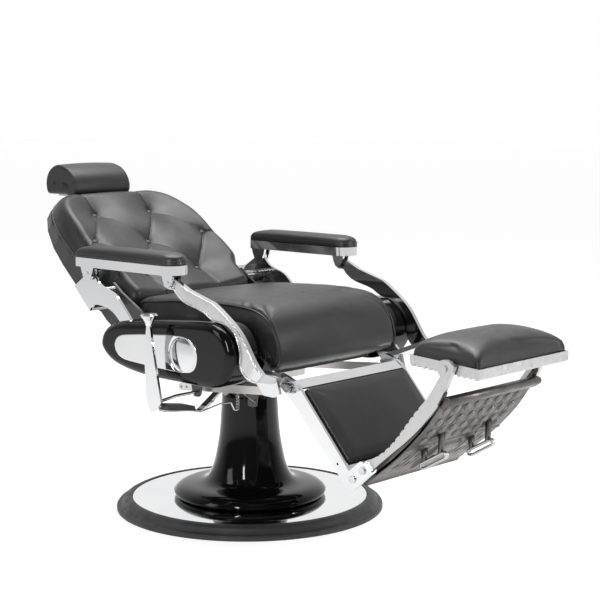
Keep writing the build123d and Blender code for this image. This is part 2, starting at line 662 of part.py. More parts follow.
POST_OUT = 17.3              # the post's middle, behind the shell
POST_HALF = 20
POST_T = 8
GUIDE_FIT = 0.2
HEAD_ALONG = 52.4            # the tilting pin, above the shell's top
with BuildPart() as headrest_guide:
    with BuildSketch(Plane(origin=REAR_PLANE.origin, x_dir=(1, 0, 0), z_dir=REAR_PLANE.y_dir).offset(-90)):
        with Locations((0, POST_OUT - 2)):
            Rectangle(2 * POST_HALF + 16, 2 * (POST_OUT - 2))
        with Locations((0, POST_OUT)):
            Rectangle(2 * (POST_HALF + GUIDE_FIT), POST_T + 2 * GUIDE_FIT, mode=Mode.SUBTRACT)
    extrude(amount=60)
save(headrest_guide.part, "headrest_guide")

head_pivot = Vector(spot(*shell_top)) + REAR_PLANE.y_dir * HEAD_ALONG - REAR_PLANE.z_dir * POST_OUT
HEAD_PIVOT = (-head_pivot.Y, head_pivot.Z)
HEAD_PIN_R = 4
post_plane = Plane(origin=REAR_PLANE.origin, x_dir=(1, 0, 0), z_dir=REAR_PLANE.y_dir)
with BuildPart() as headrest_post:
    with BuildSketch(post_plane.offset(-230)):
        with Locations((0, POST_OUT)):
            Rectangle(2 * POST_HALF, POST_T)
    extrude(amount=230 + HEAD_ALONG)
    with Locations(Location(head_pivot, (0, 90, 0))):
        Cylinder(8, 2 * POST_HALF)
        Cylinder(HEAD_PIN_R + RUNNING_FIT, 2 * POST_HALF + 2, mode=Mode.SUBTRACT)
save(headrest_post.part, "headrest_post")

HEAD_HALF = 102
HEAD_FLOOR = 797
BRACKET_HALF = 88
head_ear = (POST_HALF + 0.5, POST_HALF + 5.5)
with BuildPart() as headrest_bracket:
    with BuildSketch(Plane.XY.offset(HEAD_FLOOR - 4.3)):
        with Locations((0, -HEAD_PIVOT[0] - 12)):
            RectangleRounded(2 * BRACKET_HALF, 76, 10)
    extrude(amount=4)
    for side in (-1, 1):
        with BuildSketch(layer_plane(side, head_ear)):
            outline([(HEAD_PIVOT[0] - 12, HEAD_FLOOR - 4), (HEAD_PIVOT[0] - 9, HEAD_PIVOT[1]),
                     (HEAD_PIVOT[0] + 9, HEAD_PIVOT[1]), (HEAD_PIVOT[0] + 12, HEAD_FLOOR - 4)])
            with Locations(HEAD_PIVOT):
                Circle(9)
        extrude(amount=thickness(head_ear))
    with Locations(Location(head_pivot, (0, 90, 0))):
        Cylinder(HEAD_PIN_R, 2 * head_ear[1] + 4)
    with BuildSketch(side_plane(POST_HALF + 0.4)):
        with Locations(HEAD_PIVOT):
            Circle(10)
            Circle(HEAD_PIN_R, mode=Mode.SUBTRACT)
    extrude(amount=2 * POST_HALF + 0.8, mode=Mode.SUBTRACT)
save(headrest_bracket.part, "headrest_bracket")

with BuildPart() as headrest_cushion:
    with BuildSketch(side_plane(HEAD_HALF)):
        with BuildLine():
            Line((-586, HEAD_FLOOR), (-684, HEAD_FLOOR))
            Spline((-684, HEAD_FLOOR), (-701, 812), (-700, 840), (-682, 864), (-650, 878), (-612, 867),
                   (-584, 842), (-576, 814), (-586, HEAD_FLOOR))
        make_face()
    extrude(amount=2 * HEAD_HALF)
save(headrest_cushion.part, "headrest_cushion")

# ---------------------------------------------------------------- armrests

ARM_REAR = -272
ARM_FRONT = 86
EAR_WIDTHS = ((ARM_FRONT_PIN, 14), (ARM_REAR_PIN, 20))
arm_middle = (ARM_INNER + ARM_OUTER) / 2


def armrest_sketch(side, inset, round_radius):
    """Plan outline of an armrest: square at the rear, well rounded at the front."""
    front = -ARM_FRONT + inset
    rear = -ARM_REAR - inset
    half = (ARM_OUTER - ARM_INNER) / 2 - inset
    with BuildSketch(mode=Mode.PRIVATE) as plan:
        with Locations((side * arm_middle, (front + rear) / 2)):
            Rectangle(2 * half, rear - front)
        fillet(plan.vertices().group_by(Axis.Y)[0], round_radius)
        fillet(plan.vertices().group_by(Axis.Y)[-1], 6)
    return plan.sketch


for side in (-1, 1):
    with BuildPart() as armrest_tray:
        with BuildSketch(Plane.XY.offset(TRAY_BOTTOM)):
            add(armrest_sketch(side, 0, 36))
        extrude(amount=TRAY_TOP - TRAY_BOTTOM)
        with BuildSketch(Plane.XY.offset(TRAY_TOP)):
            add(armrest_sketch(side, 3, 33))
        extrude(amount=-8, mode=Mode.SUBTRACT)
        for pin, half_width in EAR_WIDTHS:
            for layer in EAR_LAYERS:
                with BuildSketch(layer_plane(side, layer)):
                    outline([(pin[0] - half_width - 6, TRAY_BOTTOM), (pin[0] - half_width, pin[1]),
                             (pin[0] + half_width, pin[1]), (pin[0] + half_width + 6, TRAY_BOTTOM)])
                    with Locations(pin):
                        Circle(half_width - 2)
                extrude(amount=thickness(layer))
            with Locations(across(*pin, side, (EAR_LAYERS[0][0], EAR_LAYERS[1][1] + 2))):
                Cylinder(PIN_R, EAR_LAYERS[1][1] + 2 - EAR_LAYERS[0][0])
    save(armrest_tray.part, f"armrest_tray_{side_name(side)}")

    with BuildPart() as armrest_pad:
        with BuildSketch(Plane.XY.offset(TRAY_TOP - 8 + 0.3)):
            add(armrest_sketch(side, 3.3, 32.7))
        extrude(amount=8)
        with BuildSketch(Plane.XY.offset(TRAY_TOP + 0.3)):
            add(armrest_sketch(side, 1, 35))
        extrude(amount=PAD_TOP - TRAY_TOP - 0.3)
        fillet(armrest_pad.faces().sort_by(Axis.Z)[-1].edges(), 14)
    save(armrest_pad.part, f"armrest_pad_{side_name(side)}")

# ---------------------------------------------------------------- leg rest

FOLD_OUTER = ((353, 432), (332, 410), (322, 419), (343, 441))
FOLD_INNER = ((310, 405), (293, 384), (283, 393), (300, 414))
RAIL_BOLTS = ((526, 193), (555, 218))
RAIL_SCREWS = ((346, 375), (480, 222))
BOLT_R = 5


for side in (-1, 1):
    with BuildPart() as side_bar:
        with BuildSketch(layer_plane(side, POST_LAYER)):
            with BuildLine() as post_line:
                Polyline((44, 637), (58, 633), (109, 609), (194, 584.5))
                Spline((194, 584.5), (240, 555), (287, 515), (335, 448), (353, 432))
                Line((353, 432), (332, 410))
                Spline((332, 410), (308, 414), (289, 427), (278, 447), (278, 475), (265, 511), (238, 536),
                       (190, 542.6), (165, 556), (97, 576), (57, 604.5))
                Polyline((57, 604.5), (44, 606), (44, 637))
            make_face(post_line.edges())
            with Locations(ARM_FRONT_PIN):
                Circle(17)
        extrude(amount=thickness(POST_LAYER))
        with Locations(across(*ARM_FRONT_PIN, side, POST_LAYER)):
            Cylinder(PIN_R + RUNNING_FIT, 20, mode=Mode.SUBTRACT)
        with BuildSketch(side_plane(side * POST_LAYER[0])):
            outline(FOLD_OUTER)
        with BuildSketch(side_plane(side * LEG_RAIL_LAYER[1])):
            outline(FOLD_INNER)
        loft()
        with BuildSketch(layer_plane(side, POST_LAYER)):
            outline(FOLD_OUTER)
        extrude(amount=thickness(POST_LAYER))
        with BuildSketch(layer_plane(side, LEG_RAIL_LAYER)):
            with BuildLine() as rail_line:
                Polyline((300, 414), (283, 393), (293, 384))
                Spline((293, 384), (314, 368), (337, 348), (360, 325))
                Polyline((360, 325), (504, 174), (518, 164), (532, 170), (577, 210), (577, 217), (556, 239),
                         (548, 239), (514, 211), (362, 383))
                Spline((362, 383), (348, 396), (330, 405), (300, 414))
            make_face(rail_line.edges())
            with Locations(*RAIL_BOLTS):
                Circle(BOLT_R + 0.1, mode=Mode.SUBTRACT)
            with Locations(*RAIL_SCREWS):
                Circle(3, mode=Mode.SUBTRACT)
        extrude(amount=thickness(LEG_RAIL_LAYER))
        with BuildSketch(layer_plane(side, CRANK_LAYER)):
            outline([(200, 448), (280, 363), (310, 362), (332, 372), (320, 412), (300, 432), (226, 479)])
            with Locations(LEG_PIVOT):
                Circle(20)
        extrude(amount=thickness(CRANK_LAYER))
        with Locations(across(*LEG_PIVOT, side, CRANK_LAYER)):
            Cylinder(PIVOT_R + RUNNING_FIT, 12, mode=Mode.SUBTRACT)
        stud_layer = (TIE_LAYER[0] - 1, CRANK_LAYER[0])
        with Locations(across(*TIE_FRONT_PIN, side, stud_layer)):
            Cylinder(PIN_R, thickness(stud_layer))
    save(side_bar.part, f"side_bar_{side_name(side)}")

with BuildPart() as leg_top_bar:
    with BuildSketch(side_plane(LEG_RAIL_LAYER[0])):
        outline([(334, 396), (357, 380), (361, 385), (338, 401)])
    extrude(amount=2 * LEG_RAIL_LAYER[0])
save(leg_top_bar.part, "leg_top_bar")

LEG_BOARD_OUT = (-24, -12)
with BuildPart() as leg_board:
    with BuildSketch(side_plane(LEG_RAIL_LAYER[0])):
        outline([on_leg(18, LEG_BOARD_OUT[0]), on_leg(18, LEG_BOARD_OUT[1]), on_leg(228, LEG_BOARD_OUT[1]),
                 on_leg(228, LEG_BOARD_OUT[0])])
    extrude(amount=2 * LEG_RAIL_LAYER[0])
save(leg_board.part, "leg_board")

with BuildPart() as leg_pad:
    with BuildSketch(LEG_PLANE.offset(LEG_BOARD_OUT[1] + 0.3)):
        with Locations((0, -122)):
            Rectangle(2 * LEG_PAD_HALF, 208)
    extrude(amount=22)
    fillet(leg_pad.faces().filter_by(lambda f: f.normal_at().dot(LEG_PLANE.z_dir) > 0.99).edges(), 8)
save(leg_pad.part, "leg_pad")

with BuildPart() as leg_bottom_bar:
    with BuildSketch(side_plane(LEG_RAIL_LAYER[0])):
        outline([on_leg(230, -18), on_leg(230, -2), on_leg(248, -2), on_leg(248, -18)])
    extrude(amount=2 * LEG_RAIL_LAYER[0])
save(leg_bottom_bar.part, "leg_bottom_bar")

# Footrest: two scalloped arms, the curved plate between them and its skid loops
SCALLOPS = 11
SCALLOP_R = 5.5
SCALLOP_RISE = 3
arm_top = [(545, 236), (635, 294), (703, 378), (728, 406), (764, 460), (790, 498)]
arm_bottom = [(804, 487), (782, 437), (747, 380), (683, 311), (573, 217), (552, 195)]
for side in (-1, 1):
    with BuildPart() as footrest_arm:
        with BuildSketch(layer_plane(side, FOOT_ARM_LAYER)):
            with BuildLine() as arm_line:
                edge = Spline(*arm_top)
                Line(arm_top[-1], arm_bottom[0])
                Spline(*arm_bottom)
                Polyline(arm_bottom[-1], (531, 176), (516, 186), (520, 210), arm_top[0])
            make_face(arm_line.edges())
            with Locations(FOOT_PIVOT):
                Circle(20)
            for tooth in range(SCALLOPS):
                place = edge @ (0.03 + 0.57 * tooth / (SCALLOPS - 1))
                lift = Vector(-(edge % (0.03 + 0.57 * tooth / (SCALLOPS - 1))).Y,
                              (edge % (0.03 + 0.57 * tooth / (SCALLOPS - 1))).X)
                with Locations(place + lift * SCALLOP_RISE):
                    Circle(SCALLOP_R, mode=Mode.SUBTRACT)
            with Locations(FOOT_PIVOT):
                Circle(PIVOT_R + RUNNING_FIT, mode=Mode.SUBTRACT)
            with Locations(*RAIL_BOLTS):
                Circle(BOLT_R + 0.1, mode=Mode.SUBTRACT)
        extrude(amount=thickness(FOOT_ARM_LAYER))
    save(footrest_arm.part, f"footrest_arm_{side_name(side)}")

PLATE_HALF = FOOT_ARM_LAYER[0]
PLATE_T = 8
plate_line = [(543, 178), (640, 255), (715, 330), (768, 405)]
with BuildPart() as foot_plate:
    with BuildSketch(side_plane(PLATE_HALF)):
        with BuildLine() as plate_loop:
            under = Spline(*plate_line)
            upper_plate = Spline(*[(p[0] - 5.3, p[1] + PLATE_T - 1.5) for p in plate_line])
            Line(under @ 0, upper_plate @ 0)
            Line(under @ 1, upper_plate @ 1)
        make_face(plate_loop.edges())
        with BuildLine() as crossbar_loop:
            Polyline((757, 392), (764, 388), (786, 401), (784, 413), (768, 413), close=True)
        make_face(crossbar_loop.edges())
    extrude(amount=2 * PLATE_HALF)
    for layer in ((PLATE_HALF - 5, PLATE_HALF), (-PLATE_HALF, -PLATE_HALF + 5)):
        with BuildSketch(side_plane(layer[1])):
            outline([(575, 205), (640, 258), (712, 330), (764, 402), (776, 424), (770, 440), (742, 402),
                     (690, 340), (628, 274), (580, 232)])
        extrude(amount=thickness(layer))
save(foot_plate.part, "foot_plate")

LOOP_X = 91
LOOP_FROM = (648, 226)
LOOP_TO = (707, 260)
LOOP_W = 12
with BuildPart() as skid_loops:
    for side in (-1, 1):
        with BuildSketch(side_plane(side * LOOP_X + LOOP_W / 2)):
            with BuildLine() as loop_line:
                Line(LOOP_FROM, LOOP_TO)
            slope = Vector(LOOP_TO) - Vector(LOOP_FROM)
            middle = (Vector(LOOP_FROM) + Vector(LOOP_TO)) * 0.5
            turn = degrees(atan2(slope.Y, slope.X))
            with Locations(Location((middle.X, middle.Y), turn)):
                SlotOverall(86, 20)
                SlotOverall(72, 6, mode=Mode.SUBTRACT)
        extrude(amount=LOOP_W)
        with BuildSketch(side_plane(side * LOOP_X + LOOP_W / 2)):
            outline([(649, 236), (655, 240), (652, 270), (644, 262)])
            outline([(694, 260), (700, 264), (704, 326), (695, 315)])
        extrude(amount=LOOP_W)
    add(foot_plate.part, mode=Mode.SUBTRACT)
save(skid_loops.part, "skid_loops")

with BuildPart() as footrest_bolts:
    for side in (-1, 1):
        for bolt in RAIL_BOLTS:
            with Locations(across(*bolt, side, (FOOT_ARM_LAYER[0] - 4, LEG_RAIL_LAYER[1] + 4))):
                Cylinder(BOLT_R, LEG_RAIL_LAYER[1] + 8 - FOOT_ARM_LAYER[0])
            with Locations(across(*bolt, side, (LEG_RAIL_LAYER[1], LEG_RAIL_LAYER[1] + 4))):
                Cylinder(BOLT_R + 4, 4)
            with Locations(across(*bolt, side, (FOOT_ARM_LAYER[0] - 4, FOOT_ARM_LAYER[0]))):
                Cylinder(BOLT_R + 3, 4)
save(footrest_bolts.part, "footrest_bolts")

# Foot pad: a metal tray that tilts on two pins, and its cushion
PAD_REAR = 670
PAD_FRONT = 861
TREADS = 12
tread_pitch = (PAD_FRONT - PAD_REAR) / TREADS
with BuildPart() as foot_pad_frame:
    with BuildSketch(side_plane(FOOT_PAD_HALF)):
        outline([(PAD_REAR, 478), (PAD_REAR, 499), (PAD_FRONT, 486), (PAD_FRONT, 464)])
        for tread in range(TREADS):
            forward = PAD_REAR + (tread + 0.5) * tread_pitch
            with Locations((forward, 478.5 - 14 * (tread + 0.5) / TREADS)):
                Circle(5)
    extrude(amount=2 * FOOT_PAD_HALF)
    with BuildSketch(side_plane(FOOT_PAD_HALF - 4)):
        outline([(PAD_REAR + 4, 491), (PAD_REAR + 4, 501), (PAD_FRONT - 4, 488), (PAD_FRONT - 4, 478)])
    extrude(amount=2 * (FOOT_PAD_HALF - 4), mode=Mode.SUBTRACT)
    for side in (-1, 1):
        with Locations(across(*FOOT_PIVOT, side, (FOOT_PAD_HALF - 1, FOOT_ARM_LAYER[1] + 4))):
            Cylinder(PIVOT_R, FOOT_ARM_LAYER[1] + 5 - FOOT_PAD_HALF)
save(foot_pad_frame.part, "foot_pad_frame")

with BuildPart() as foot_pad_cushion:
    with BuildSketch(side_plane(FOOT_PAD_HALF - 4.4)):
        with BuildLine():
            Polyline((PAD_FRONT - 4.4, 488), (PAD_FRONT - 4.4, 478.6), (PAD_REAR + 4.4, 491.6),
                     (PAD_REAR + 4.4, 501))
            Spline((PAD_REAR + 4.4, 501), (684, 526), (714, 542), (760, 545), (806, 537), (842, 520),
                   (PAD_FRONT - 4.4, 488))
        make_face()
    extrude(amount=2 * (FOOT_PAD_HALF - 4.4))
save(foot_pad_cushion.part, "foot_pad_cushion")

# ---------------------------------------------------------------- tie bars

TIE_BOLTS = ((3, 348), (-16, 346))
TIE_HALF = 10
for side in (-1, 1):
    with BuildPart() as tie_bar:
        with BuildSketch(layer_plane(side, TIE_LAYER)):
            outline([(297, 384), (3, 358), (-16, 356), (-26, 352), (-26, 340), (-16, 336), (3, 338), (297, 364)])
            outline([(-22, 348), (-15, 380), (9, 380), (18, 348)])
            with Locations(TIE_FRONT_PIN):
                Circle(TIE_HALF)
            with Locations(TIE_REAR_PIN):
                Circle(13)
            with Locations(TIE_FRONT_PIN):
                Circle(PIN_R + RUNNING_FIT, mode=Mode.SUBTRACT)
            with Locations(TIE_REAR_PIN):
                Circle(PIN_R + OPEN_FIT, mode=Mode.SUBTRACT)
            with Locations(*TIE_BOLTS):
                Circle(3, mode=Mode.SUBTRACT)
        extrude(amount=thickness(TIE_LAYER))
    save(tie_bar.part, f"tie_bar_{side_name(side)}")
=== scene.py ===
import json
from math import cos, pi, radians, sin
import bmesh
import bpy
import numpy as np
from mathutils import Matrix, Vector


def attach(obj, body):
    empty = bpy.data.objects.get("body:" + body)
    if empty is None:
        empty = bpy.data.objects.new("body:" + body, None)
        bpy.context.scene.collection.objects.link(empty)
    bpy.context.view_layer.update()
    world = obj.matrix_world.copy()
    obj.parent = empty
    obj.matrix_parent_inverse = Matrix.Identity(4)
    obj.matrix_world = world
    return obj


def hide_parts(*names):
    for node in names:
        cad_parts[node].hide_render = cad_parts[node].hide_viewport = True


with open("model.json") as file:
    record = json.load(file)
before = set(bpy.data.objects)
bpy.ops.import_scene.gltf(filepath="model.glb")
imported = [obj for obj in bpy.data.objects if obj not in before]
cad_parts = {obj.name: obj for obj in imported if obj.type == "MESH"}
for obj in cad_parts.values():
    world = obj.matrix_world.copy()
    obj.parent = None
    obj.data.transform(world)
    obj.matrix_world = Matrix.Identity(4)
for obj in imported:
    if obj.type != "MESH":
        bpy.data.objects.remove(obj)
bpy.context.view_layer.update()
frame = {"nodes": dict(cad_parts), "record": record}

# Hydraulic barber chair, metres. -Y is the sitter's forward, +X the sitter's left.
# Side profiles are (forward, up) in millimetres, as in the CAD.
MM = 0.001
NODES = frame["nodes"]

BACK_ANGLE = radians(36.3)      # slope of the back cushion's base, up from the level
BACK_ORIGIN = (-294, 600)
LEG_ANGLE = radians(48.5)       # slope of the leg pad, down from the level
LEG_ORIGIN = (352, 394)
BACK_PIVOT = (-85, 462)
PAD_MIDDLE = (765.5, 492.6)     # foot pad, where its cushion sits on the metal frame
PAD_TILT = radians(-3.9)
PLATE_HALF = 177.7              # half the width of the footrest's curved plate
PLATE_LENGTH = 323.0            # along its curve
BAR_FACE = 320.2                # outer face of the side bars, from the middle of the chair
COVER_FACE = 345                # outer face of the side covers, likewise


def spot(forward, up, x=0.0):
    """A point of a side profile as a scene point, in metres."""
    return Vector((x * MM, -forward * MM, up * MM))


def on_back(w, along, out):
    """A point beside, along and out of the back cushion's base."""
    forward = BACK_ORIGIN[0] - along * cos(BACK_ANGLE) + out * sin(BACK_ANGLE)
    up = BACK_ORIGIN[1] + along * sin(BACK_ANGLE) + out * cos(BACK_ANGLE)
    return spot(forward, up, w)


def on_leg(w, down, out):
    """A point beside, down along and out of the leg pad."""
    forward = LEG_ORIGIN[0] + down * cos(LEG_ANGLE) + out * sin(LEG_ANGLE)
    up = LEG_ORIGIN[1] - down * sin(LEG_ANGLE) + out * cos(LEG_ANGLE)
    return spot(forward, up, w)


def on_pad(a, b, h):
    """A point of the foot pad: across, along and above its metal frame."""
    forward = PAD_MIDDLE[0] + b * cos(PAD_TILT) - h * sin(PAD_TILT)
    up = PAD_MIDDLE[1] + b * sin(PAD_TILT) + h * cos(PAD_TILT)
    return spot(forward, up, a)


# ---------------------------------------------------------------- materials

class Shader:
    """A principled material whose patterns are built from object coordinates."""

    def __init__(self, name, color, roughness, metallic=0.0, **sockets):
        self.material = bpy.data.materials.new(name)
        self.material.use_nodes = True
        self.tree = self.material.node_tree
        self.bsdf = self.tree.nodes["Principled BSDF"]
        self.set("Base Color", (*color, 1))
        self.set("Roughness", roughness)
        self.set("Metallic", metallic)
        for socket, value in sockets.items():
            self.set(socket.replace("_", " "), value)
        self.place = self.node("ShaderNodeTexCoord").outputs["Object"]
        self.last_bump = None

    def set(self, socket, value):
        self.bsdf.inputs[socket].default_value = value

    def node(self, kind, **values):
        made = self.tree.nodes.new(kind)
        for key, value in values.items():
            if key in made.inputs:
                made.inputs[key].default_value = value
            else:
                setattr(made, key, value)
        return made

    def link(self, a, b):
        self.tree.links.new(a, b)

    def stretched(self, scale):
        mapping = self.node("ShaderNodeMapping", Scale=scale)
        self.link(self.place, mapping.inputs["Vector"])
        return mapping.outputs["Vector"]

    def noise(self, scale, detail=4.0, rough=0.55, stretch=None, distortion=0.0):
        made = self.node("ShaderNodeTexNoise", Scale=scale, Detail=detail, Roughness=rough,
                         Distortion=distortion)
        self.link(self.stretched(stretch) if stretch else self.place, made.inputs["Vector"])
        return made.outputs["Fac"]

    def cells(self, scale, feature="DISTANCE_TO_EDGE"):
        made = self.node("ShaderNodeTexVoronoi", Scale=scale, feature=feature)
        self.link(self.place, made.inputs["Vector"])
        return made.outputs["Distance"]

    def ranged(self, source, low, high, start=0.0, end=1.0):
        made = self.node("ShaderNodeMapRange")
        for key, value in (("From Min", start), ("From Max", end), ("To Min", low), ("To Max", high)):
            made.inputs[key].default_value = value
        self.link(source, made.inputs["Value"])
        return made.outputs["Result"]

    def colors(self, source, stops):
        ramp = self.node("ShaderNodeValToRGB")
        for element, (place, color) in zip(ramp.color_ramp.elements, (stops[0], stops[-1])):
            element.position = place
            element.color = (*color, 1)
        for place, color in stops[1:-1]:
            ramp.color_ramp.elements.new(place).color = (*color, 1)
        self.link(source, ramp.inputs["Fac"])
        self.link(ramp.outputs["Color"], self.bsdf.inputs["Base Color"])

    def rough(self, source, low, high, start=0.3, end=0.7):
        self.link(self.ranged(source, low, high, start, end), self.bsdf.inputs["Roughness"])

    def bump(self, source, strength, distance):
        made = self.node("ShaderNodeBump", Strength=strength, Distance=distance)
        self.link(source, made.inputs["Height"])
        if self.last_bump:
            self.link(self.last_bump, made.inputs["Normal"])
        self.last_bump = made.outputs["Normal"]
        self.link(self.last_bump, self.bsdf.inputs["Normal"])


def grey(v, warm=0.0):
    """A grey as red, green and blue, tipped towards red by the share warm."""
    return (v * (1 + warm), v, v * (1 - warm))


def leather():
    s = Shader("black_vinyl_look", grey(0.01), 0.4, Specular_IOR_Level=0.44)
    s.colors(s.noise(9, 3), [(0.3, grey(0.009)), (0.7, grey(0.014))])
    s.rough(s.noise(35, 5), 0.38, 0.48)
    s.bump(s.noise(26, 3, 0.5), 0.12, 0.004)
    s.bump(s.cells(850), 0.22, 0.0004)
    s.bump(s.noise(2200, 2), 0.12, 0.0002)
    return s.material


def thread():
    s = Shader("piping_look", grey(0.01), 0.34, Specular_IOR_Level=0.5)
    s.colors(s.noise(60, 3), [(0.3, grey(0.008)), (0.7, grey(0.013))])
    s.bump(s.cells(900), 0.2, 0.0003)
    return s.material


def gloss_black():
    s = Shader("gloss_black_look", grey(0.003), 0.07, Specular_IOR_Level=0.26)
    s.colors(s.noise(6, 2), [(0.3, grey(0.002)), (0.7, grey(0.004))])
    s.rough(s.noise(14, 4), 0.05, 0.12)
    s.bump(s.noise(90, 2), 0.02, 0.002)
    return s.material


def chrome():
    s = Shader("polished_chrome_look", grey(0.66), 0.08, 1.0)
    s.colors(s.noise(4, 2), [(0.3, (0.62, 0.625, 0.635)), (0.7, (0.7, 0.7, 0.705))])
    s.rough(s.noise(22, 5), 0.05, 0.13)
    s.bump(s.noise(30, 2), 0.03, 0.003)
    return s.material


def mirror():
    s = Shader("mirror_disc_look", grey(0.85), 0.05, 1.0)
    s.colors(s.noise(3, 2), [(0.3, (0.8, 0.81, 0.83)), (0.7, (0.88, 0.885, 0.89))])
    s.rough(s.noise(10, 6), 0.03, 0.09)
    s.bump(s.noise(12, 2), 0.02, 0.003)
    return s.material


def metal(name, low, high, rough_low, rough_high, grain=(1, 1, 1), warm=0.0, bump=0.08):
    s = Shader(name, grey(high), rough_high, 1.0)
    s.colors(s.noise(45, 6, 0.6, grain), [(0.25, grey(low, warm)), (0.75, grey(high, warm))])
    s.rough(s.noise(120, 5, 0.6, grain), rough_low, rough_high)
    s.bump(s.noise(500, 4, 0.6, grain), bump, 0.0006)
    return s.material


def cast_aluminium():
    s = Shader("cast_aluminium_look", grey(0.55), 0.35, 1.0)
    s.colors(s.noise(60, 6, 0.62), [(0.25, grey(0.46)), (0.75, grey(0.56))])
    s.rough(s.noise(60, 5), 0.24, 0.4)
    s.bump(s.noise(350, 5, 0.65), 0.2, 0.0008)
    return s.material


def raw_casting():
    s = Shader("raw_casting_look", grey(0.1), 0.4, 1.0)
    s.colors(s.noise(35, 6, 0.62), [(0.25, grey(0.07, 0.06)), (0.75, grey(0.14, 0.05))])
    s.rough(s.noise(60, 5), 0.3, 0.48)
    s.bump(s.noise(350, 5, 0.65), 0.25, 0.0008)
    s.bump(s.noise(40, 3), 0.1, 0.002)
    return s.material


def rubber():
    s = Shader("black_rubber_look", grey(0.02), 0.55, Specular_IOR_Level=0.5)
    s.colors(s.noise(30, 5), [(0.3, grey(0.016)), (0.7, grey(0.03))])
    s.rough(s.noise(50, 4), 0.42, 0.62)
    s.bump(s.noise(700, 3), 0.12, 0.0006)
    return s.material


def plastic():
    s = Shader("satin_black_look", grey(0.02), 0.4)
    s.colors(s.noise(16, 4), [(0.3, grey(0.016)), (0.7, grey(0.028))])
    s.rough(s.noise(40, 4), 0.34, 0.48)
    s.bump(s.cells(700), 0.12, 0.0004)
    return s.material


def painted_iron():
    s = Shader("cast_plate_look", grey(0.05), 0.45, Coat_Weight=0.2)
    s.colors(s.noise(20, 5), [(0.3, grey(0.035)), (0.7, grey(0.07))])
    s.rough(s.noise(60, 4), 0.38, 0.6)
    s.bump(s.noise(260, 4), 0.3, 0.001)
    return s.material


def black_frame():
    s = Shader("black_frame_look", grey(0.02), 0.35, Coat_Weight=0.3)
    s.colors(s.noise(18, 4), [(0.3, grey(0.015)), (0.7, grey(0.028))])
    s.rough(s.noise(50, 4), 0.3, 0.46)
    s.bump(s.noise(300, 3), 0.12, 0.0006)
    return s.material


def plywood():
    # near-black colour: painted shade for the shadow under the seat; the streaked grain and warm tint are the
    # wood's own
    s = Shader("plywood_shade_dark_look", grey(0.03), 0.6)
    s.colors(s.noise(14, 8, 0.6, (1, 0.08, 1), 0.6), [(0.3, grey(0.018, 0.1)), (0.55, grey(0.028, 0.1)),
                                                      (0.75, grey(0.04, 0.1))])
    s.rough(s.noise(80, 4), 0.5, 0.7)
    s.bump(s.noise(300, 4, 0.6, (1, 0.1, 1)), 0.2, 0.0006)
    return s.material


LOOKS = {
    "black_vinyl": leather(), "gloss_black": gloss_black(), "polished_chrome": chrome(),
    "mirror_disc": mirror(), "cast_aluminium": cast_aluminium(), "black_rubber": rubber(),
    "satin_black": plastic(), "cast_plate": painted_iron(), "black_frame": black_frame(),
    "plywood": plywood(),
    "plain_steel": metal("plain_steel_look", 0.4, 0.55, 0.22, 0.38),
    "zinc_bolt": metal("zinc_bolt_look", 0.5, 0.66, 0.2, 0.36),
    "satin_steel": metal("satin_steel_look", 0.55, 0.66, 0.28, 0.42, (1, 0.06, 1), 0.02),
    "bronze": metal("bronze_look", 0.45, 0.6, 0.25, 0.4, (1, 1, 0.2), 0.25),
}
PIPING = thread()
CASTING = raw_casting()
BRUSHED = metal("brushed_bar_look", 0.53, 0.62, 0.24, 0.32, (1, 0.4, 0.4), bump=0.02)
RIM = metal("bar_rim_look", 0.64, 0.76, 0.22, 0.3, (1, 1, 1))
STUD = metal("worn_stud_look", 0.13, 0.24, 0.42, 0.55, (1, 1, 1), 0.03)
for part in frame["record"]["subparts"]:
    for material_slot in NODES[part["node"]].material_slots:
        material_slot.material = LOOKS[part["material_slot"]]


# ---------------------------------------------------------------- mesh helpers

def smooth_line(points, count, closed=False):
    """Evenly spaced points on a Catmull-Rom curve through the given points."""
    p = np.array(points, float)
    spans = len(p) if closed else len(p) - 1
    if closed:
        p = np.vstack([p[-1], p, p[0], p[1]])
    else:
        p = np.vstack([2 * p[0] - p[1], p, 2 * p[-1] - p[-2]])
    fine = []
    for i in range(spans):
        a, b, c, d = p[i:i + 4]
        t = np.linspace(0, 1, 24, endpoint=False)[:, None]
        fine.append(0.5 * (2 * b + (c - a) * t + (2 * a - 5 * b + 4 * c - d) * t ** 2
                           + (3 * b - a - 3 * c + d) * t ** 3))
    fine = np.vstack(fine + [p[spans + 1:spans + 2]])
    return even_line(fine, count, closed)


def even_line(points, count, closed=False):
    """Evenly spaced points along a chain of straight pieces."""
    p = np.array(points, float)
    run = np.concatenate([[0], np.cumsum(np.linalg.norm(np.diff(p, axis=0), axis=1))])
    at = np.linspace(0, run[-1], count, endpoint=not closed)
    return np.stack([np.interp(at, run, p[:, k]) for k in range(p.shape[1])], 1)


def inward(loop):
    """Unit normals of a closed 2D loop, pointing in."""
    step = np.roll(loop, -1, 0) - np.roll(loop, 1, 0)
    step /= np.linalg.norm(step, axis=1)[:, None]
    area = np.sum(loop[:, 0] * np.roll(loop[:, 1], -1) - np.roll(loop[:, 0], -1) * loop[:, 1])
    side = 1 if area > 0 else -1
    return np.stack([-step[:, 1], step[:, 0]], 1) * side


def mesh_piece(name, verts, faces, material, smooth=True):
    mesh = bpy.data.meshes.new(name)
    mesh.from_pydata([tuple(v) for v in verts], [], faces)
    mesh.validate()
    obj = bpy.data.objects.new(name, mesh)
    bpy.context.scene.collection.objects.link(obj)
    mesh.materials.append(material)
    mesh.polygons.foreach_set("use_smooth", [smooth] * len(mesh.polygons))
    turn_outward(obj)
    return obj


def turn_outward(obj):
    """Points every face away from the inside of a closed mesh."""
    work = bmesh.new()
    work.from_mesh(obj.data)
    bmesh.ops.recalc_face_normals(work, faces=work.faces)
    work.to_mesh(obj.data)
    work.free()


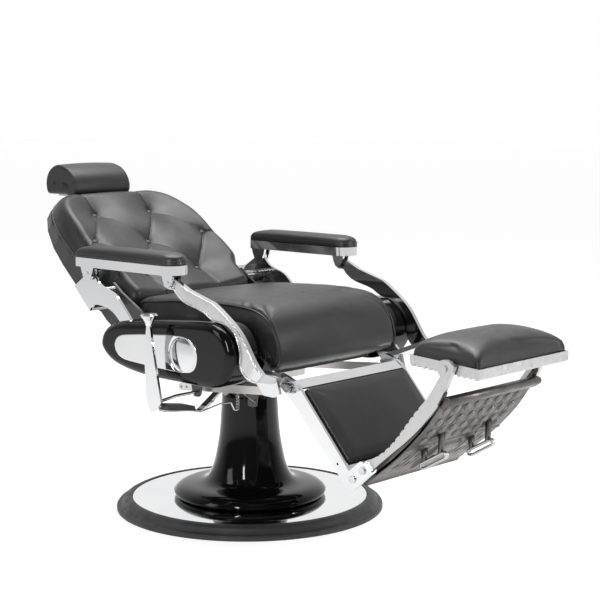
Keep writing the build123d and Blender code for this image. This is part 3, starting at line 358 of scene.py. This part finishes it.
def rings_mesh(rings, closed_ends=True):
    """Vertices and faces of a stack of equal closed rings, with fan ends."""
    rings = [np.asarray(r, float) for r in rings]
    n = len(rings[0])
    verts = [v for r in rings for v in r]
    faces = []
    for k in range(len(rings) - 1):
        for i in range(n):
            j = (i + 1) % n
            faces.append((k * n + i, k * n + j, (k + 1) * n + j, (k + 1) * n + i))
    if closed_ends:
        for k in (0, len(rings) - 1):
            verts.append(rings[k].mean(0))
            middle = len(verts) - 1
            faces += [(k * n + i, k * n + (i + 1) % n, middle) for i in range(n)]
    return verts, faces


def tube(points, radius, closed=False, sides=8):
    """Vertices and faces of a round tube along 3D points."""
    p = np.array(points, float)
    n = len(p)
    if closed:
        tangent = np.roll(p, -1, 0) - np.roll(p, 1, 0)
    else:
        tangent = np.gradient(p, axis=0)
    tangent /= np.linalg.norm(tangent, axis=1)[:, None]
    rings = []
    side = np.array([0.31, 0.53, 0.79])
    for i in range(n):
        side = side - tangent[i] * side.dot(tangent[i])
        side /= np.linalg.norm(side)
        other = np.cross(tangent[i], side)
        rings.append([p[i] + radius * (cos(a) * side + sin(a) * other)
                      for a in np.linspace(0, 2 * pi, sides, endpoint=False)])
    verts, faces = rings_mesh(rings, not closed)
    if closed:
        m = sides
        last = (n - 1) * m
        # the frame turns by some angle along a closed loop, so the ends are joined at the nearest match
        shift = int(np.argmin([np.linalg.norm(np.array(verts[last]) - verts[k]) for k in range(m)]))
        faces += [(last + i, last + (i + 1) % m, (i + 1 + shift) % m, (i + shift) % m) for i in range(m)]
    return verts, faces


def joined(parts):
    """One mesh's vertices and faces from several."""
    verts, faces = [], []
    for v, f in parts:
        base = len(verts)
        verts += list(v)
        faces += [tuple(i + base for i in face) for face in f]
    return verts, faces


def soft_piece(obj, body, node):
    """A vinyl pad that rides on a body in place of a CAD node."""
    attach(obj, body)
    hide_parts(*([node] if isinstance(node, str) else node))
    return obj


def trim_piece(obj, body):
    """A trim that rides on a body beside the CAD nodes."""
    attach(obj, body)
    return obj


def wave(x, y, seed):
    """Gentle unevenness of a stuffed surface, from -1 to 1."""
    rng = np.random.default_rng(seed)
    total = 0
    for _ in range(5):
        kx, ky = rng.uniform(-0.035, 0.035, 2)
        total = total + np.sin(kx * x + ky * y + rng.uniform(0, 2 * pi))
    return total / 5


def inflate(obj, pressure, cap):
    """Swells a closed pad with cloth pressure and keeps every point within the cap."""
    before = np.array([v.co for v in obj.data.vertices])
    cloth = obj.modifiers.new("swell", "CLOTH")
    cloth.settings.use_pressure = True
    cloth.settings.uniform_pressure_force = pressure
    cloth.settings.effector_weights.gravity = 0
    cloth.settings.quality = 5
    scene = bpy.context.scene
    for number in range(1, 21):
        scene.frame_set(number)
    shown = obj.evaluated_get(bpy.context.evaluated_depsgraph_get())
    after = np.array([v.co for v in shown.data.vertices])
    obj.modifiers.remove(cloth)
    move = after - before
    size = np.linalg.norm(move, axis=1)[:, None]
    move *= np.minimum(1, cap / np.maximum(size, 1e-9))
    obj.data.vertices.foreach_set("co", (before + move).ravel().astype(np.float32))
    obj.data.update()
    scene.frame_set(1)


# ---------------------------------------------------------------- swept pads: seat and headrest

def swept_pad(profile, half, edge, crown, panel, steps, count):
    """A profile swept across the chair: crowned, rounded at its sides, with flat side panels."""
    loop = smooth_line(profile, count, closed=True)
    normal = inward(loop)
    top = np.clip(-normal[:, 1], 0, 1) ** 0.5          # crown only where the surface looks up or forward
    front = np.clip(-normal[:, 0], 0, 1) ** 0.5
    share = np.maximum(top, front)
    rings = []
    turn = np.linspace(0, pi / 2, 8)
    flat = half - edge
    xs = [flat * v for v in np.sin(np.linspace(-pi / 2, pi / 2, steps))]
    xs = [-flat - edge * sin(a) for a in turn[:0:-1]] + xs + [flat + edge * sin(a) for a in turn[1:]]
    rounding = [edge * (1 - cos(a)) for a in turn[1:]]
    drops = rounding[::-1] + [0.0] * steps + rounding
    for x, drop in zip(xs, drops):
        sag = crown * (x / half) ** 2 * share + drop
        rings.append((x, loop + normal * sag[:, None]))
    for k in (1, 2):                                    # the side panel, dished a little
        inner = rings[-1][1] + normal * panel * k
        rings.append((half - 0.4 * k, inner))
        rings.insert(0, (-half + 0.4 * k, inner))
    solid = [[spot(f, z, x) for f, z in ring] for x, ring in rings]
    return rings_mesh([np.array(r) for r in solid]), loop, normal


def arc_about(center, radius, angles):
    """Points at the given angles, in degrees, of a circle in a side profile."""
    return [(center[0] + radius * cos(radians(a)), center[1] + radius * sin(radians(a))) for a in angles]


seat_profile = (arc_about(BACK_PIVOT, 134, (196, 180, 160, 142))
                + [(-176, 554.5), (-122, 561), (-50, 568), (20, 572), (90, 575), (155, 575), (206, 572),
                   (240, 566), (266, 555), (288, 538), (303, 516), (314, 490), (320, 462), (318, 440),
                   (308, 427), (290, 421), (268, 417), (120, 415), (-60, 415), (-190, 415)])
(verts, faces), loop, normal = swept_pad(seat_profile, half=221, edge=12, crown=4, panel=12,
                                         steps=60, count=240)
seat = mesh_piece("seat_pad", verts, faces, LOOKS["black_vinyl"])
inflate(seat, 4, 0.006)
soft_piece(seat, "seat", "seat_cushion")
for side, word in ((-1, "right"), (1, "left")):
    v, f = tube([spot(f, z, side * 217.5) for f, z in loop + normal * 9.5], 0.0024, closed=True)
    trim_piece(mesh_piece(f"seat_piping_{word}", v, f, PIPING), "seat")

head_profile = [(-592, 792.5), (-606, 793.5), (-618, 797.2), (-640, 797.3), (-690, 797.3), (-701, 802),
                (-706, 818), (-706, 838), (-699, 857), (-684, 872), (-662, 881.5), (-640, 881),
                (-610, 872), (-588, 855), (-575, 834), (-571.5, 812), (-578, 797)]
(verts, faces), loop, normal = swept_pad(head_profile, half=101.6, edge=7, crown=3, panel=9,
                                         steps=26, count=120)
head = mesh_piece("headrest_pad", verts, faces, LOOKS["black_vinyl"])
soft_piece(head, "headrest", "headrest_cushion")
cords = [tube([spot(f, z, s * 98.5) for f, z in loop + normal * 5.5], 0.0016, closed=True) for s in (-1, 1)]
v, f = joined(cords)
trim_piece(mesh_piece("headrest_piping", v, f, PIPING), "headrest")


# ---------------------------------------------------------------- domed pads: armrests, leg pad, foot pad

def rounded_loop(half_a, half_b, corners, per_corner=9, per_side=12):
    """A rounded rectangle in (a, b), starting at the +a +b corner, with one radius a corner."""
    points = []
    signs = ((1, 1), (-1, 1), (-1, -1), (1, -1))
    starts = (0, 90, 180, 270)
    corner_points = []
    for (sa, sb), start, r in zip(signs, starts, corners):
        r = max(min(r, half_a - 0.5, half_b - 0.5), 0.5)
        center = (sa * (half_a - r), sb * (half_b - r))
        angles = np.radians(start + np.linspace(0, 90, per_corner))
        corner_points.append(np.stack([center[0] + r * np.cos(angles), center[1] + r * np.sin(angles)], 1))
    for k in range(4):
        here, after = corner_points[k], corner_points[(k + 1) % 4]
        points.append(here)
        t = np.linspace(0, 1, per_side + 2)[1:-1, None]
        points.append(here[-1] * (1 - t) + after[0] * t)
    return np.vstack(points)


def domed_pad(half_a, half_b, corners, base, wall, rise, power, bulge, place, lumps, seed, oval):
    """A pad on a flat base: a low bulging wall, then a top that rises in one smooth curve."""
    outer = rounded_loop(half_a, half_b, corners)
    angle = np.arctan2(outer[:, 1] / half_b, outer[:, 0] / half_a)
    ellipse = np.stack([half_a * np.cos(angle), half_b * np.sin(angle)], 1)
    rings = []

    def add_ring(plan, level):
        height = np.full(len(plan), float(level))
        if level > base + wall:
            height += lumps * wave(plan[:, 0], plan[:, 1], seed) * (level - base - wall) / rise
        rings.append(np.array([place(a, b, h) for (a, b), h in zip(plan, height)]))

    add_ring(outer * np.array([1 - 2.5 / half_a, 1 - 2.5 / half_b]), base)
    for t in np.linspace(0, 1, 5):
        out = bulge * sin(pi * t)
        add_ring(outer * np.array([1 + out / half_a, 1 + out / half_b]), base + wall * t)
    for a in np.linspace(0, pi / 2, 30)[1:-1]:
        t = min(1 - cos(a) ** (2 / power), 0.985)
        reach = half_b * t
        plan = rounded_loop(half_a - reach, half_b - reach, [r + reach * 0.8 for r in corners])
        mix = oval * t ** 2
        plan = plan * (1 - mix) + ellipse * (1 - t) * mix
        level = base + wall + rise * (1 - (1 - t) ** power) ** (1 / power)
        add_ring(plan, level)
    return rings_mesh(rings)


for side, word in ((-1, "right"), (1, "left")):
    def place(a, b, h, side=side):
        return Vector(((side * 317.5 + b) * MM, (93 - a) * MM, h * MM))

    corners = (36, 7, 7, 36)
    v, f = domed_pad(178.2, 37.2, corners, base=665.9, wall=8, rise=21.5, power=2.6, bulge=1.0,
                     place=place, lumps=0.5, seed=11 + side, oval=0.15)
    pad = mesh_piece(f"armrest_cushion_{word}", v, f, LOOKS["black_vinyl"])
    inflate(pad, 2, 0.001)
    soft_piece(pad, f"armrest_{word}", f"armrest_pad_{word}")
    seam = [place(a, b, 676.5) for a, b in rounded_loop(178.9, 37.9, corners)]
    v, f = tube(seam, 0.0009, closed=True, sides=6)
    trim_piece(mesh_piece(f"armrest_seam_{word}", v, f, PIPING), f"armrest_{word}")

v, f = domed_pad(187, 105, (9, 9, 9, 9), base=-11.6, wall=12, rise=11, power=7, bulge=0.4,
                 place=lambda a, b, h: on_leg(a, 122 - b, h), lumps=0.8, seed=5, oval=0.1)
leg = mesh_piece("leg_cushion", v, f, LOOKS["black_vinyl"])
inflate(leg, 3, 0.0015)
soft_piece(leg, "leg_rest", "leg_pad")

v, f = domed_pad(173, 93.5, (9, 9, 9, 9), base=-0.4, wall=5, rise=46, power=2.3, bulge=0.6,
                 place=on_pad, lumps=1.0, seed=8, oval=0.75)
foot = mesh_piece("foot_cushion", v, f, LOOKS["black_vinyl"])
inflate(foot, 3, 0.004)
soft_piece(foot, "foot_pad", "foot_pad_cushion")

# ---------------------------------------------------------------- tufted back

# across, along and out of the cushion's base
BUTTONS = ((0, 118, 5), (-197.5, 119, 17), (197.5, 119, 17), (-98, 0, 0), (98, 0, 0),
           (-100.5, 247, 0), (100.5, 247, 0))
# the cushion's outline: along it, and half its width there
HALF_AT = ((-112, 200), (-104, 213), (-88, 222), (-60, 226), (-30, 227), (-14, 236), (6, 247), (40, 250),
           (140, 249.5), (200, 244), (240, 234), (270, 222), (296, 206), (314, 188), (326, 168), (334, 148),
           (338, 126))
STRONG_PLEATS = [(BUTTONS[i][:2], BUTTONS[j][:2]) for i, j in ((5, 1), (6, 0), (0, 3), (2, 4))]
STRONG_PLEATS += [((-100.5, 247), (-112, 345)), ((100.5, 247), (92, 345)), ((-98, 0), (-100, -120)),
                  ((98, 0), (100, -120)), ((-197.5, 119), (-222, 100)), ((-222, 100), (-252, 60)),
                  ((197.5, 119), (226, 112)), ((226, 112), (252, 84))]
SOFT_PLEATS = [(BUTTONS[i][:2], BUTTONS[j][:2]) for i, j in ((5, 0), (6, 2), (3, 1), (4, 0))]


def to_segment(px, py, a, b):
    """Distance from points to a segment."""
    ax, ay = a
    dx, dy = b[0] - ax, b[1] - ay
    t = np.clip(((px - ax) * dx + (py - ay) * dy) / (dx * dx + dy * dy), 0, 1)
    return np.hypot(px - ax - t * dx, py - ay - t * dy)


SHOULDER = 34                   # how far in from the edge the face rolls over
FOOT_OUT = -20                  # level of the rolled edge
BASE_OUT = -27.7                # level of the cushion's back
half_line = smooth_line(HALF_AT, 400)
rows, columns = 220, 240
u_line = np.interp(np.linspace(0, 1, rows), np.linspace(0, 1, len(half_line)), half_line[:, 0])
w_half = np.interp(np.linspace(0, 1, rows), np.linspace(0, 1, len(half_line)), half_line[:, 1])
share = np.linspace(-1, 1, columns)
share = np.sign(share) * (1 - (1 - np.abs(share)) ** 1.12)
W = w_half[:, None] * share[None, :]
U = np.repeat(u_line[:, None], columns, 1)
edge_loop = np.vstack([np.stack([half_line[:, 1], half_line[:, 0]], 1),
                       np.stack([-half_line[::-1, 1], half_line[::-1, 0]], 1)])
edge_distance = np.full(W.shape, 1e9)
for k in range(len(edge_loop)):
    a, b = edge_loop[k], edge_loop[(k + 1) % len(edge_loop)]
    if np.hypot(*(b - a)) > 1e-6:
        edge_distance = np.minimum(edge_distance, to_segment(W, U, a, b))
pleat = np.min([to_segment(W, U, a, b) for a, b in STRONG_PLEATS], axis=0)
soft_pleat = np.min([to_segment(W, U, a, b) for a, b in SOFT_PLEATS], axis=0)
floor_out = np.zeros(W.shape)
weight = np.zeros(W.shape)
pull = np.zeros(W.shape)
pit = np.zeros(W.shape)
for w, u, out in BUTTONS:
    d = np.hypot(W - w, U - u)
    k = 1 / (d + 12) ** 2
    floor_out += out * k
    weight += k
    pull += 9.0 * np.exp(-(d / 26) ** 1.25) + 9.0 * np.exp(-(d / 62) ** 2)
    pit += np.exp(-(d / 12) ** 2)
floor_out /= weight
side_rise = 9 * np.clip((np.abs(W) - 110) / 110, 0, 1) ** 1.5
crease = 4.2 * np.exp(-(pleat / 2.0) ** 1.3) + 2.6 * np.exp(-pleat / 14)
crease += 2.4 * np.exp(-(soft_pleat / 6) ** 1.4) * np.clip(pull / 9, 0, 1) ** 2
height = floor_out + 20 - np.minimum(pull, 19) - crease + side_rise - 2.0 * pit
roll = np.sqrt(np.clip(1 - (1 - np.clip(edge_distance / SHOULDER, 0, 1)) ** 2, 0, 1))
height = FOOT_OUT + (height - FOOT_OUT) * roll + 0.8 * wave(W, U, 4) * roll
verts = [on_back(W[r, c], U[r, c], height[r, c]) for r in range(rows) for c in range(columns)]
faces = [(r * columns + c, r * columns + c + 1, (r + 1) * columns + c + 1, (r + 1) * columns + c)
         for r in range(rows - 1) for c in range(columns - 1)]
rim = ([(0, c) for c in range(columns)] + [(r, columns - 1) for r in range(1, rows)]
       + [(rows - 1, c) for c in range(columns - 2, -1, -1)] + [(r, 0) for r in range(rows - 2, 0, -1)])
base = len(verts)
for level in (-24, BASE_OUT):
    verts += [on_back(W[r, c], U[r, c], level) for r, c in rim]
n = len(rim)
for k in range(n):
    a, b = rim[k], rim[(k + 1) % n]
    faces.append((a[0] * columns + a[1], b[0] * columns + b[1], base + (k + 1) % n, base + k))
    faces.append((base + k, base + (k + 1) % n, base + n + (k + 1) % n, base + n + k))
verts.append(on_back(0, 110, BASE_OUT))
faces += [(base + n + k, base + n + (k + 1) % n, len(verts) - 1) for k in range(n)]
back = mesh_piece("tufted_back", verts, faces, LOOKS["black_vinyl"])
soft_piece(back, "back", "back_cushion")

rim_points = even_line(np.array([on_back(W[r, c], U[r, c], FOOT_OUT - 1) for r, c in rim]), 420, closed=True)
v, f = tube(rim_points, 0.0026, closed=True)
trim_piece(mesh_piece("back_piping", v, f, PIPING), "back")

parts = []
for w, u, out in BUTTONS:
    r, c = np.unravel_index(np.argmin(np.hypot(W - w, U - u)), W.shape)
    seat_out = height[r, c]
    rings = []
    for radius, lift in ((0.5, -2), (9.2, -1.5), (9.9, 1.5), (9.9, 4.0), (9.2, 6.0), (7.6, 7.6), (5.0, 8.7),
                         (2.0, 9.2)):
        rings.append(np.array([on_back(w + radius * cos(a), u + radius * sin(a), seat_out + lift)
                               for a in np.linspace(0, 2 * pi, 28, endpoint=False)]))
    parts.append(rings_mesh(rings))
v, f = joined(parts)
buttons = mesh_piece("covered_buttons", v, f, LOOKS["black_vinyl"])
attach(buttons, "back")
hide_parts("tuft_buttons")

# ---------------------------------------------------------------- curved foot plate with its studs

under = smooth_line([(543, 178), (640, 255), (715, 330), (768, 405)], 161)
tangent = np.gradient(under, axis=0)
tangent /= np.linalg.norm(tangent, axis=1)[:, None]
drop = np.stack([tangent[:, 1], -tangent[:, 0]], 1)     # away from the leg, below the plate
run = np.linspace(0, 1, len(under))
xs = np.linspace(-PLATE_HALF, PLATE_HALF, 250)
relief = np.zeros((len(run), len(xs)))
R, X = np.meshgrid(run, xs, indexing="ij")
STUDS = [(-140 + 40 * column, 0.575 + 0.105 * row) for row in range(4) for column in range(8)]
for row in range(2):
    for column in (0, 1, 2, 5, 6, 7):
        at_x, at_run = -140 + 40 * column, 0.24 + 0.13 * row
        d = np.hypot((X - at_x) / 0.8, (R - at_run) * PLATE_LENGTH / 1.3)
        relief -= 2.6 * np.clip(1 - (d / 11.5) ** 2, 0, None) ** 0.7
for at_x in (-120, -80, 80, 120):
    relief += 1.6 * np.exp(-((X - at_x) / 2.2) ** 4) * np.clip((R - 0.16) * 12, 0, 1)
relief += 2.6 * np.exp(-((R - 0.5) * PLATE_LENGTH / 4.5) ** 4)
boss = np.clip((46 - np.abs(X)) / 4, 0, 1) * np.clip((0.46 - R) * 30, 0, 1) * np.clip((R - 0.1) * 30, 0, 1)
relief = relief * (1 - boss) + 4.5 * boss
relief += 4.0 * np.exp(-(R * PLATE_LENGTH / 7) ** 2)
for from_edge in (PLATE_HALF - np.abs(X), R * PLATE_LENGTH, (1 - R) * PLATE_LENGTH):
    relief *= np.clip(from_edge / 1.5, 0, 1)
verts, faces = [], []
nr, nx = relief.shape
upper_side = np.full(relief.shape, -8.2)
for levels in (relief, upper_side):
    for i in range(nr):
        for j in range(nx):
            f, z = under[i] + drop[i] * levels[i, j]
            verts.append(spot(f, z, xs[j]))
for i in range(nr - 1):
    for j in range(nx - 1):
        a = i * nx + j
        faces.append((a, a + 1, a + nx + 1, a + nx))
        faces.append((nr * nx + a, nr * nx + a + nx, nr * nx + a + nx + 1, nr * nx + a + 1))
border = ([j for j in range(nx)] + [i * nx + nx - 1 for i in range(1, nr)]
          + [(nr - 1) * nx + j for j in range(nx - 2, -1, -1)] + [i * nx for i in range(nr - 2, 0, -1)])
for k in range(len(border)):
    a, b = border[k], border[(k + 1) % len(border)]
    faces.append((a, b, nr * nx + b, nr * nx + a))
plate = mesh_piece("footrest_casting", verts, faces, CASTING)
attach(plate, "leg_rest")
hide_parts("foot_plate")


def turned(x, at_run, steps, count, stand=0.0):
    """A round boss under the plate, from (radius, level) steps."""
    i = int(at_run * (len(under) - 1))
    center = under[i] + drop[i] * stand
    rings = []
    for radius, lift in steps:
        ring = []
        for a in np.linspace(0, 2 * pi, count, endpoint=False):
            f, z = center + tangent[i] * radius * sin(a) + drop[i] * lift
            ring.append(spot(f, z, x + radius * cos(a)))
        rings.append(np.array(ring))
    return rings_mesh(rings)


stud_steps = ((12, -1.0), (12, 0.6), (10.8, 2.2), (8.6, 3.5), (5.6, 4.3), (2.2, 4.7))
v, f = joined([turned(x, at_run, stud_steps, 28) for x, at_run in STUDS])
trim_piece(mesh_piece("footrest_studs", v, f, STUD), "leg_rest")


def slab(profile, x_from, x_to):
    """A side profile pushed across the chair, with its edges softened by a small inset."""
    p = np.array(profile, float)
    center = p.mean(0)
    rings = []
    for x, k in ((x_from, 1.2), (x_from + 0.8, 0.0), (x_to - 0.8, 0.0), (x_to, 1.2)):
        away = p - center
        size = np.linalg.norm(away, axis=1)[:, None]
        ring = center + away * (1 - k / np.maximum(size, 1e-6))
        rings.append([spot(f, z, x) for f, z in ring])
    return rings_mesh([np.array(r) for r in rings])


bar = smooth_line([(757, 391), (765, 387.5), (780, 396), (787, 402), (785, 413), (768, 414)], 26, closed=True)
parts = [slab(bar, -PLATE_HALF, PLATE_HALF)]
lower = smooth_line([(575, 205), (640, 258), (712, 330), (764, 402), (776, 424)], 30)
upper = smooth_line([(770, 440), (742, 402), (690, 340), (628, 274), (580, 232)], 30)
parts += [slab(np.vstack([lower, upper]), a, b) for a, b in ((-PLATE_HALF, -173), (173, PLATE_HALF))]
screw_steps = ((6.5, 0), (6.5, 2.5), (5.5, 3.2), (2.5, 3.2), (2.5, 1.5))
parts += [turned(x, 0.28, screw_steps, 24, stand=4.5) for x in (-18, 18)]
v, f = joined(parts)
trim = mesh_piece("footrest_bar_and_flanges", v, f, CASTING)
trim_piece(trim, "leg_rest")

LOOP_MIDDLE = (677.5, 243)
LOOP_TURN = radians(30)
LOOP_STRAIGHT = 33              # half the straight stretch of a loop
LOOP_BEND = 6.6                 # radius of its ends
parts, legs = [], []
for x in (-91, 91):
    path = []
    for a in np.linspace(0, 2 * pi, 96, endpoint=False):
        along = LOOP_STRAIGHT * (1 if cos(a) > 0 else -1) + LOOP_BEND * cos(a)
        across = LOOP_BEND * sin(a)
        path.append((LOOP_MIDDLE[0] + along * cos(LOOP_TURN) - across * sin(LOOP_TURN),
                     LOOP_MIDDLE[1] + along * sin(LOOP_TURN) + across * cos(LOOP_TURN)))
    path = even_line(np.array(path + path[:1]), 90, closed=True)
    for dx in (-3.2, 0, 3.2):
        parts.append(tube([spot(f, z, x + dx) for f, z in path], 0.0036, closed=True, sides=10))
    legs.append(slab([(647, 234), (656, 239), (655, 270), (643, 262)], x - 6, x + 6))
    legs.append(slab([(692, 259), (701, 264), (706, 322), (694, 314)], x - 6, x + 6))
v, f = joined(parts)
loops = mesh_piece("footrest_skid_loops", v, f, LOOKS["cast_aluminium"])
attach(loops, "leg_rest")
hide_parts("skid_loops")
v, f = joined(legs)
trim_piece(mesh_piece("footrest_loop_legs", v, f, CASTING), "leg_rest")

# ---------------------------------------------------------------- polished cover insets with a domed lobe

INSET_LOOP = ((-134, 458), (-114, 479), (-59, 488), (14, 495), (88, 500), (134, 496), (159, 476), (162, 445),
              (149, 420), (116, 411), (46, 412), (-44, 416), (-102, 421), (-127, 435))
LOBE = (112, 455)
loop = smooth_line(INSET_LOOP, 180, closed=True)
normal = inward(loop)
center = np.array([60.0, 456.0])
for side, word in ((-1, "right"), (1, "left")):
    rings = []
    for k in np.linspace(0, 1, 46):
        if k < 0.08:
            plan = loop + normal * (0.5 + 1.5 * k / 0.08)
            level = np.full(len(loop), 0.9 * sin(pi / 2 * k / 0.08))
        else:
            q = (k - 0.08) / 0.92
            plan = (loop + normal * 2) * (1 - q * 0.985) + center * q * 0.985
            level = np.full(len(loop), 0.9)
        d = np.hypot(plan[:, 0] - LOBE[0], plan[:, 1] - LOBE[1])
        behind = 1 / (1 + np.exp((plan[:, 0] - LOBE[0] + 4) / 5))
        dome = 3.2 * np.clip(1 - (d / 42) ** 2, 0, 1)
        groove = 1.6 * np.exp(-((d - 44) / 4.5) ** 2) * behind * (k > 0.08)
        level = level + dome - groove
        rings.append(np.array([spot(f, z, side * (COVER_FACE + h)) for (f, z), h in zip(plan, level)]))
    first = np.array([spot(f, z, side * (COVER_FACE - 1.3)) for f, z in loop + normal * 0.5])
    v, f = rings_mesh([first] + rings)
    inset = mesh_piece(f"polished_inset_{word}", v, f, LOOKS["polished_chrome"])
    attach(inset, "seat")
    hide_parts(f"cover_inset_{word}")

# ---------------------------------------------------------------- rims and satin strips of the side bars

# the strip bows out a little between the rims, and its two edges are sunk in the bar
strip_levels = [(k, 0.15 + 0.25 * (1 - (2 * k - 1) ** 2)) for k in (0.03, 0.045, 0.27, 0.5, 0.73, 0.955, 0.97)]
strip_levels = [(0.03, -0.6)] + strip_levels + [(0.97, -0.6)]
upper_edge = np.vstack([even_line([(48, 634.5), (58, 630), (109, 606), (190, 582.5)], 40),
                        smooth_line([(194, 581.5), (239, 552), (284, 513), (331, 447), (347, 434)], 50)])
lower_edge = np.vstack([even_line([(49, 609), (58, 607.5), (97, 579)], 24),
                        smooth_line([(97, 579), (165, 559), (191, 545.6), (240, 539), (268, 513),
                                     (281.5, 476), (281.5, 448), (292, 429.5), (310, 417), (330, 413)],
                                    70)])
face_upper = even_line(upper_edge[4:-4], 60)
face_lower = even_line(lower_edge[4:-4], 60)
for side, word in ((-1, "right"), (1, "left")):
    v, f = joined([tube([spot(f, z, side * BAR_FACE) for f, z in line], 0.0017)
                   for line in (upper_edge, lower_edge)])
    rims = mesh_piece(f"side_bar_rims_{word}", v, f, RIM)
    trim_piece(rims, "leg_rest")
    rows_in = [[spot(f, z, side * (BAR_FACE + out)) for f, z in face_upper * (1 - k) + face_lower * k]
               for k, out in strip_levels]
    v, f = rings_mesh([np.array([row[i] for row in rows_in]) for i in range(60)])
    strip = mesh_piece(f"side_bar_face_{word}", v, f, BRUSHED)
    trim_piece(strip, "leg_rest")

# ---------------------------------------------------------------- stage, light and camera

floor_mesh = bpy.data.meshes.new("floor")
floor_mesh.from_pydata([(-30, -30, 0), (30, -30, 0), (30, 30, 0), (-30, 30, 0)], [], [(0, 1, 2, 3)])
floor = bpy.data.objects.new("floor", floor_mesh)
bpy.context.scene.collection.objects.link(floor)
paper = Shader("floor_look", grey(0.42), 0.6, Emission_Color=(1, 1, 1, 1), Emission_Strength=0.72,
               Specular_IOR_Level=0.2)
floor_mesh.materials.append(paper.material)

world = bpy.data.worlds.new("studio")
bpy.context.scene.world = world
world.use_nodes = True
tree = world.node_tree
sky = tree.nodes["Background"]
sky.inputs["Color"].default_value = (1, 1, 1, 1)
sky.inputs["Strength"].default_value = 0.3
bright = tree.nodes.new("ShaderNodeBackground")
bright.inputs["Color"].default_value = (1, 1, 1, 1)
bright.inputs["Strength"].default_value = 1.0
path = tree.nodes.new("ShaderNodeLightPath")
choice = tree.nodes.new("ShaderNodeMixShader")
tree.links.new(path.outputs["Is Camera Ray"], choice.inputs[0])
tree.links.new(sky.outputs[0], choice.inputs[1])
tree.links.new(bright.outputs[0], choice.inputs[2])
tree.links.new(choice.outputs[0], tree.nodes["World Output"].inputs["Surface"])
# the far side of the studio is bright and its near side dim
way = tree.nodes.new("ShaderNodeTexCoord")
facing = tree.nodes.new("ShaderNodeVectorMath")
facing.operation = "DOT_PRODUCT"
facing.inputs[1].default_value = (0.72, 0.69, 0)
level = tree.nodes.new("ShaderNodeMapRange")
for key, value in (("From Min", -0.15), ("From Max", 0.55), ("To Min", 0.13), ("To Max", 0.95)):
    level.inputs[key].default_value = value
tree.links.new(way.outputs["Generated"], facing.inputs[0])
tree.links.new(facing.outputs["Value"], level.inputs["Value"])
tree.links.new(level.outputs["Result"], sky.inputs["Strength"])


def softbox(name, place, target, size, power):
    """A rectangular light that faces a point."""
    data = bpy.data.lights.new(name, "AREA")
    data.shape = "RECTANGLE"
    data.size, data.size_y = size
    data.energy = power
    light = bpy.data.objects.new(name, data)
    light.location = place
    light.rotation_euler = (Vector(target) - Vector(place)).to_track_quat("-Z", "Y").to_euler()
    bpy.context.scene.collection.objects.link(light)


softbox("overhead", (0.5, 0.4, 3.4), (0, 0, 0.5), (2.2, 2.2), 130)
softbox("key", (-3.2, 1.2, 2.0), (0, 0, 0.6), (1.0, 2.0), 22)
softbox("front", (1.4, -3.6, 2.4), (0, -0.3, 0.5), (1.6, 1.2), 26)
softbox("strip_near", (-2.6, -1.2, 1.5), (0, 0, 0.45), (0.22, 1.3), 34)
softbox("strip_far", (1.2, -3.0, 1.2), (0, 0, 0.3), (0.2, 1.4), 30)

camera_data = bpy.data.cameras.new("camera")
camera_data.sensor_width = 36
camera_data.lens = 91.9
camera = bpy.data.objects.new("camera", camera_data)
look = Vector((0.73192, 0.66884, -0.13016))
camera.location = (-2.8273, -2.7625, 1.0632)
camera.rotation_euler = look.to_track_quat("-Z", "Y").to_euler()
bpy.context.scene.collection.objects.link(camera)
bpy.context.scene.camera = camera
bpy.context.scene.view_settings.view_transform = "Standard"

bpy.context.view_layer.update()
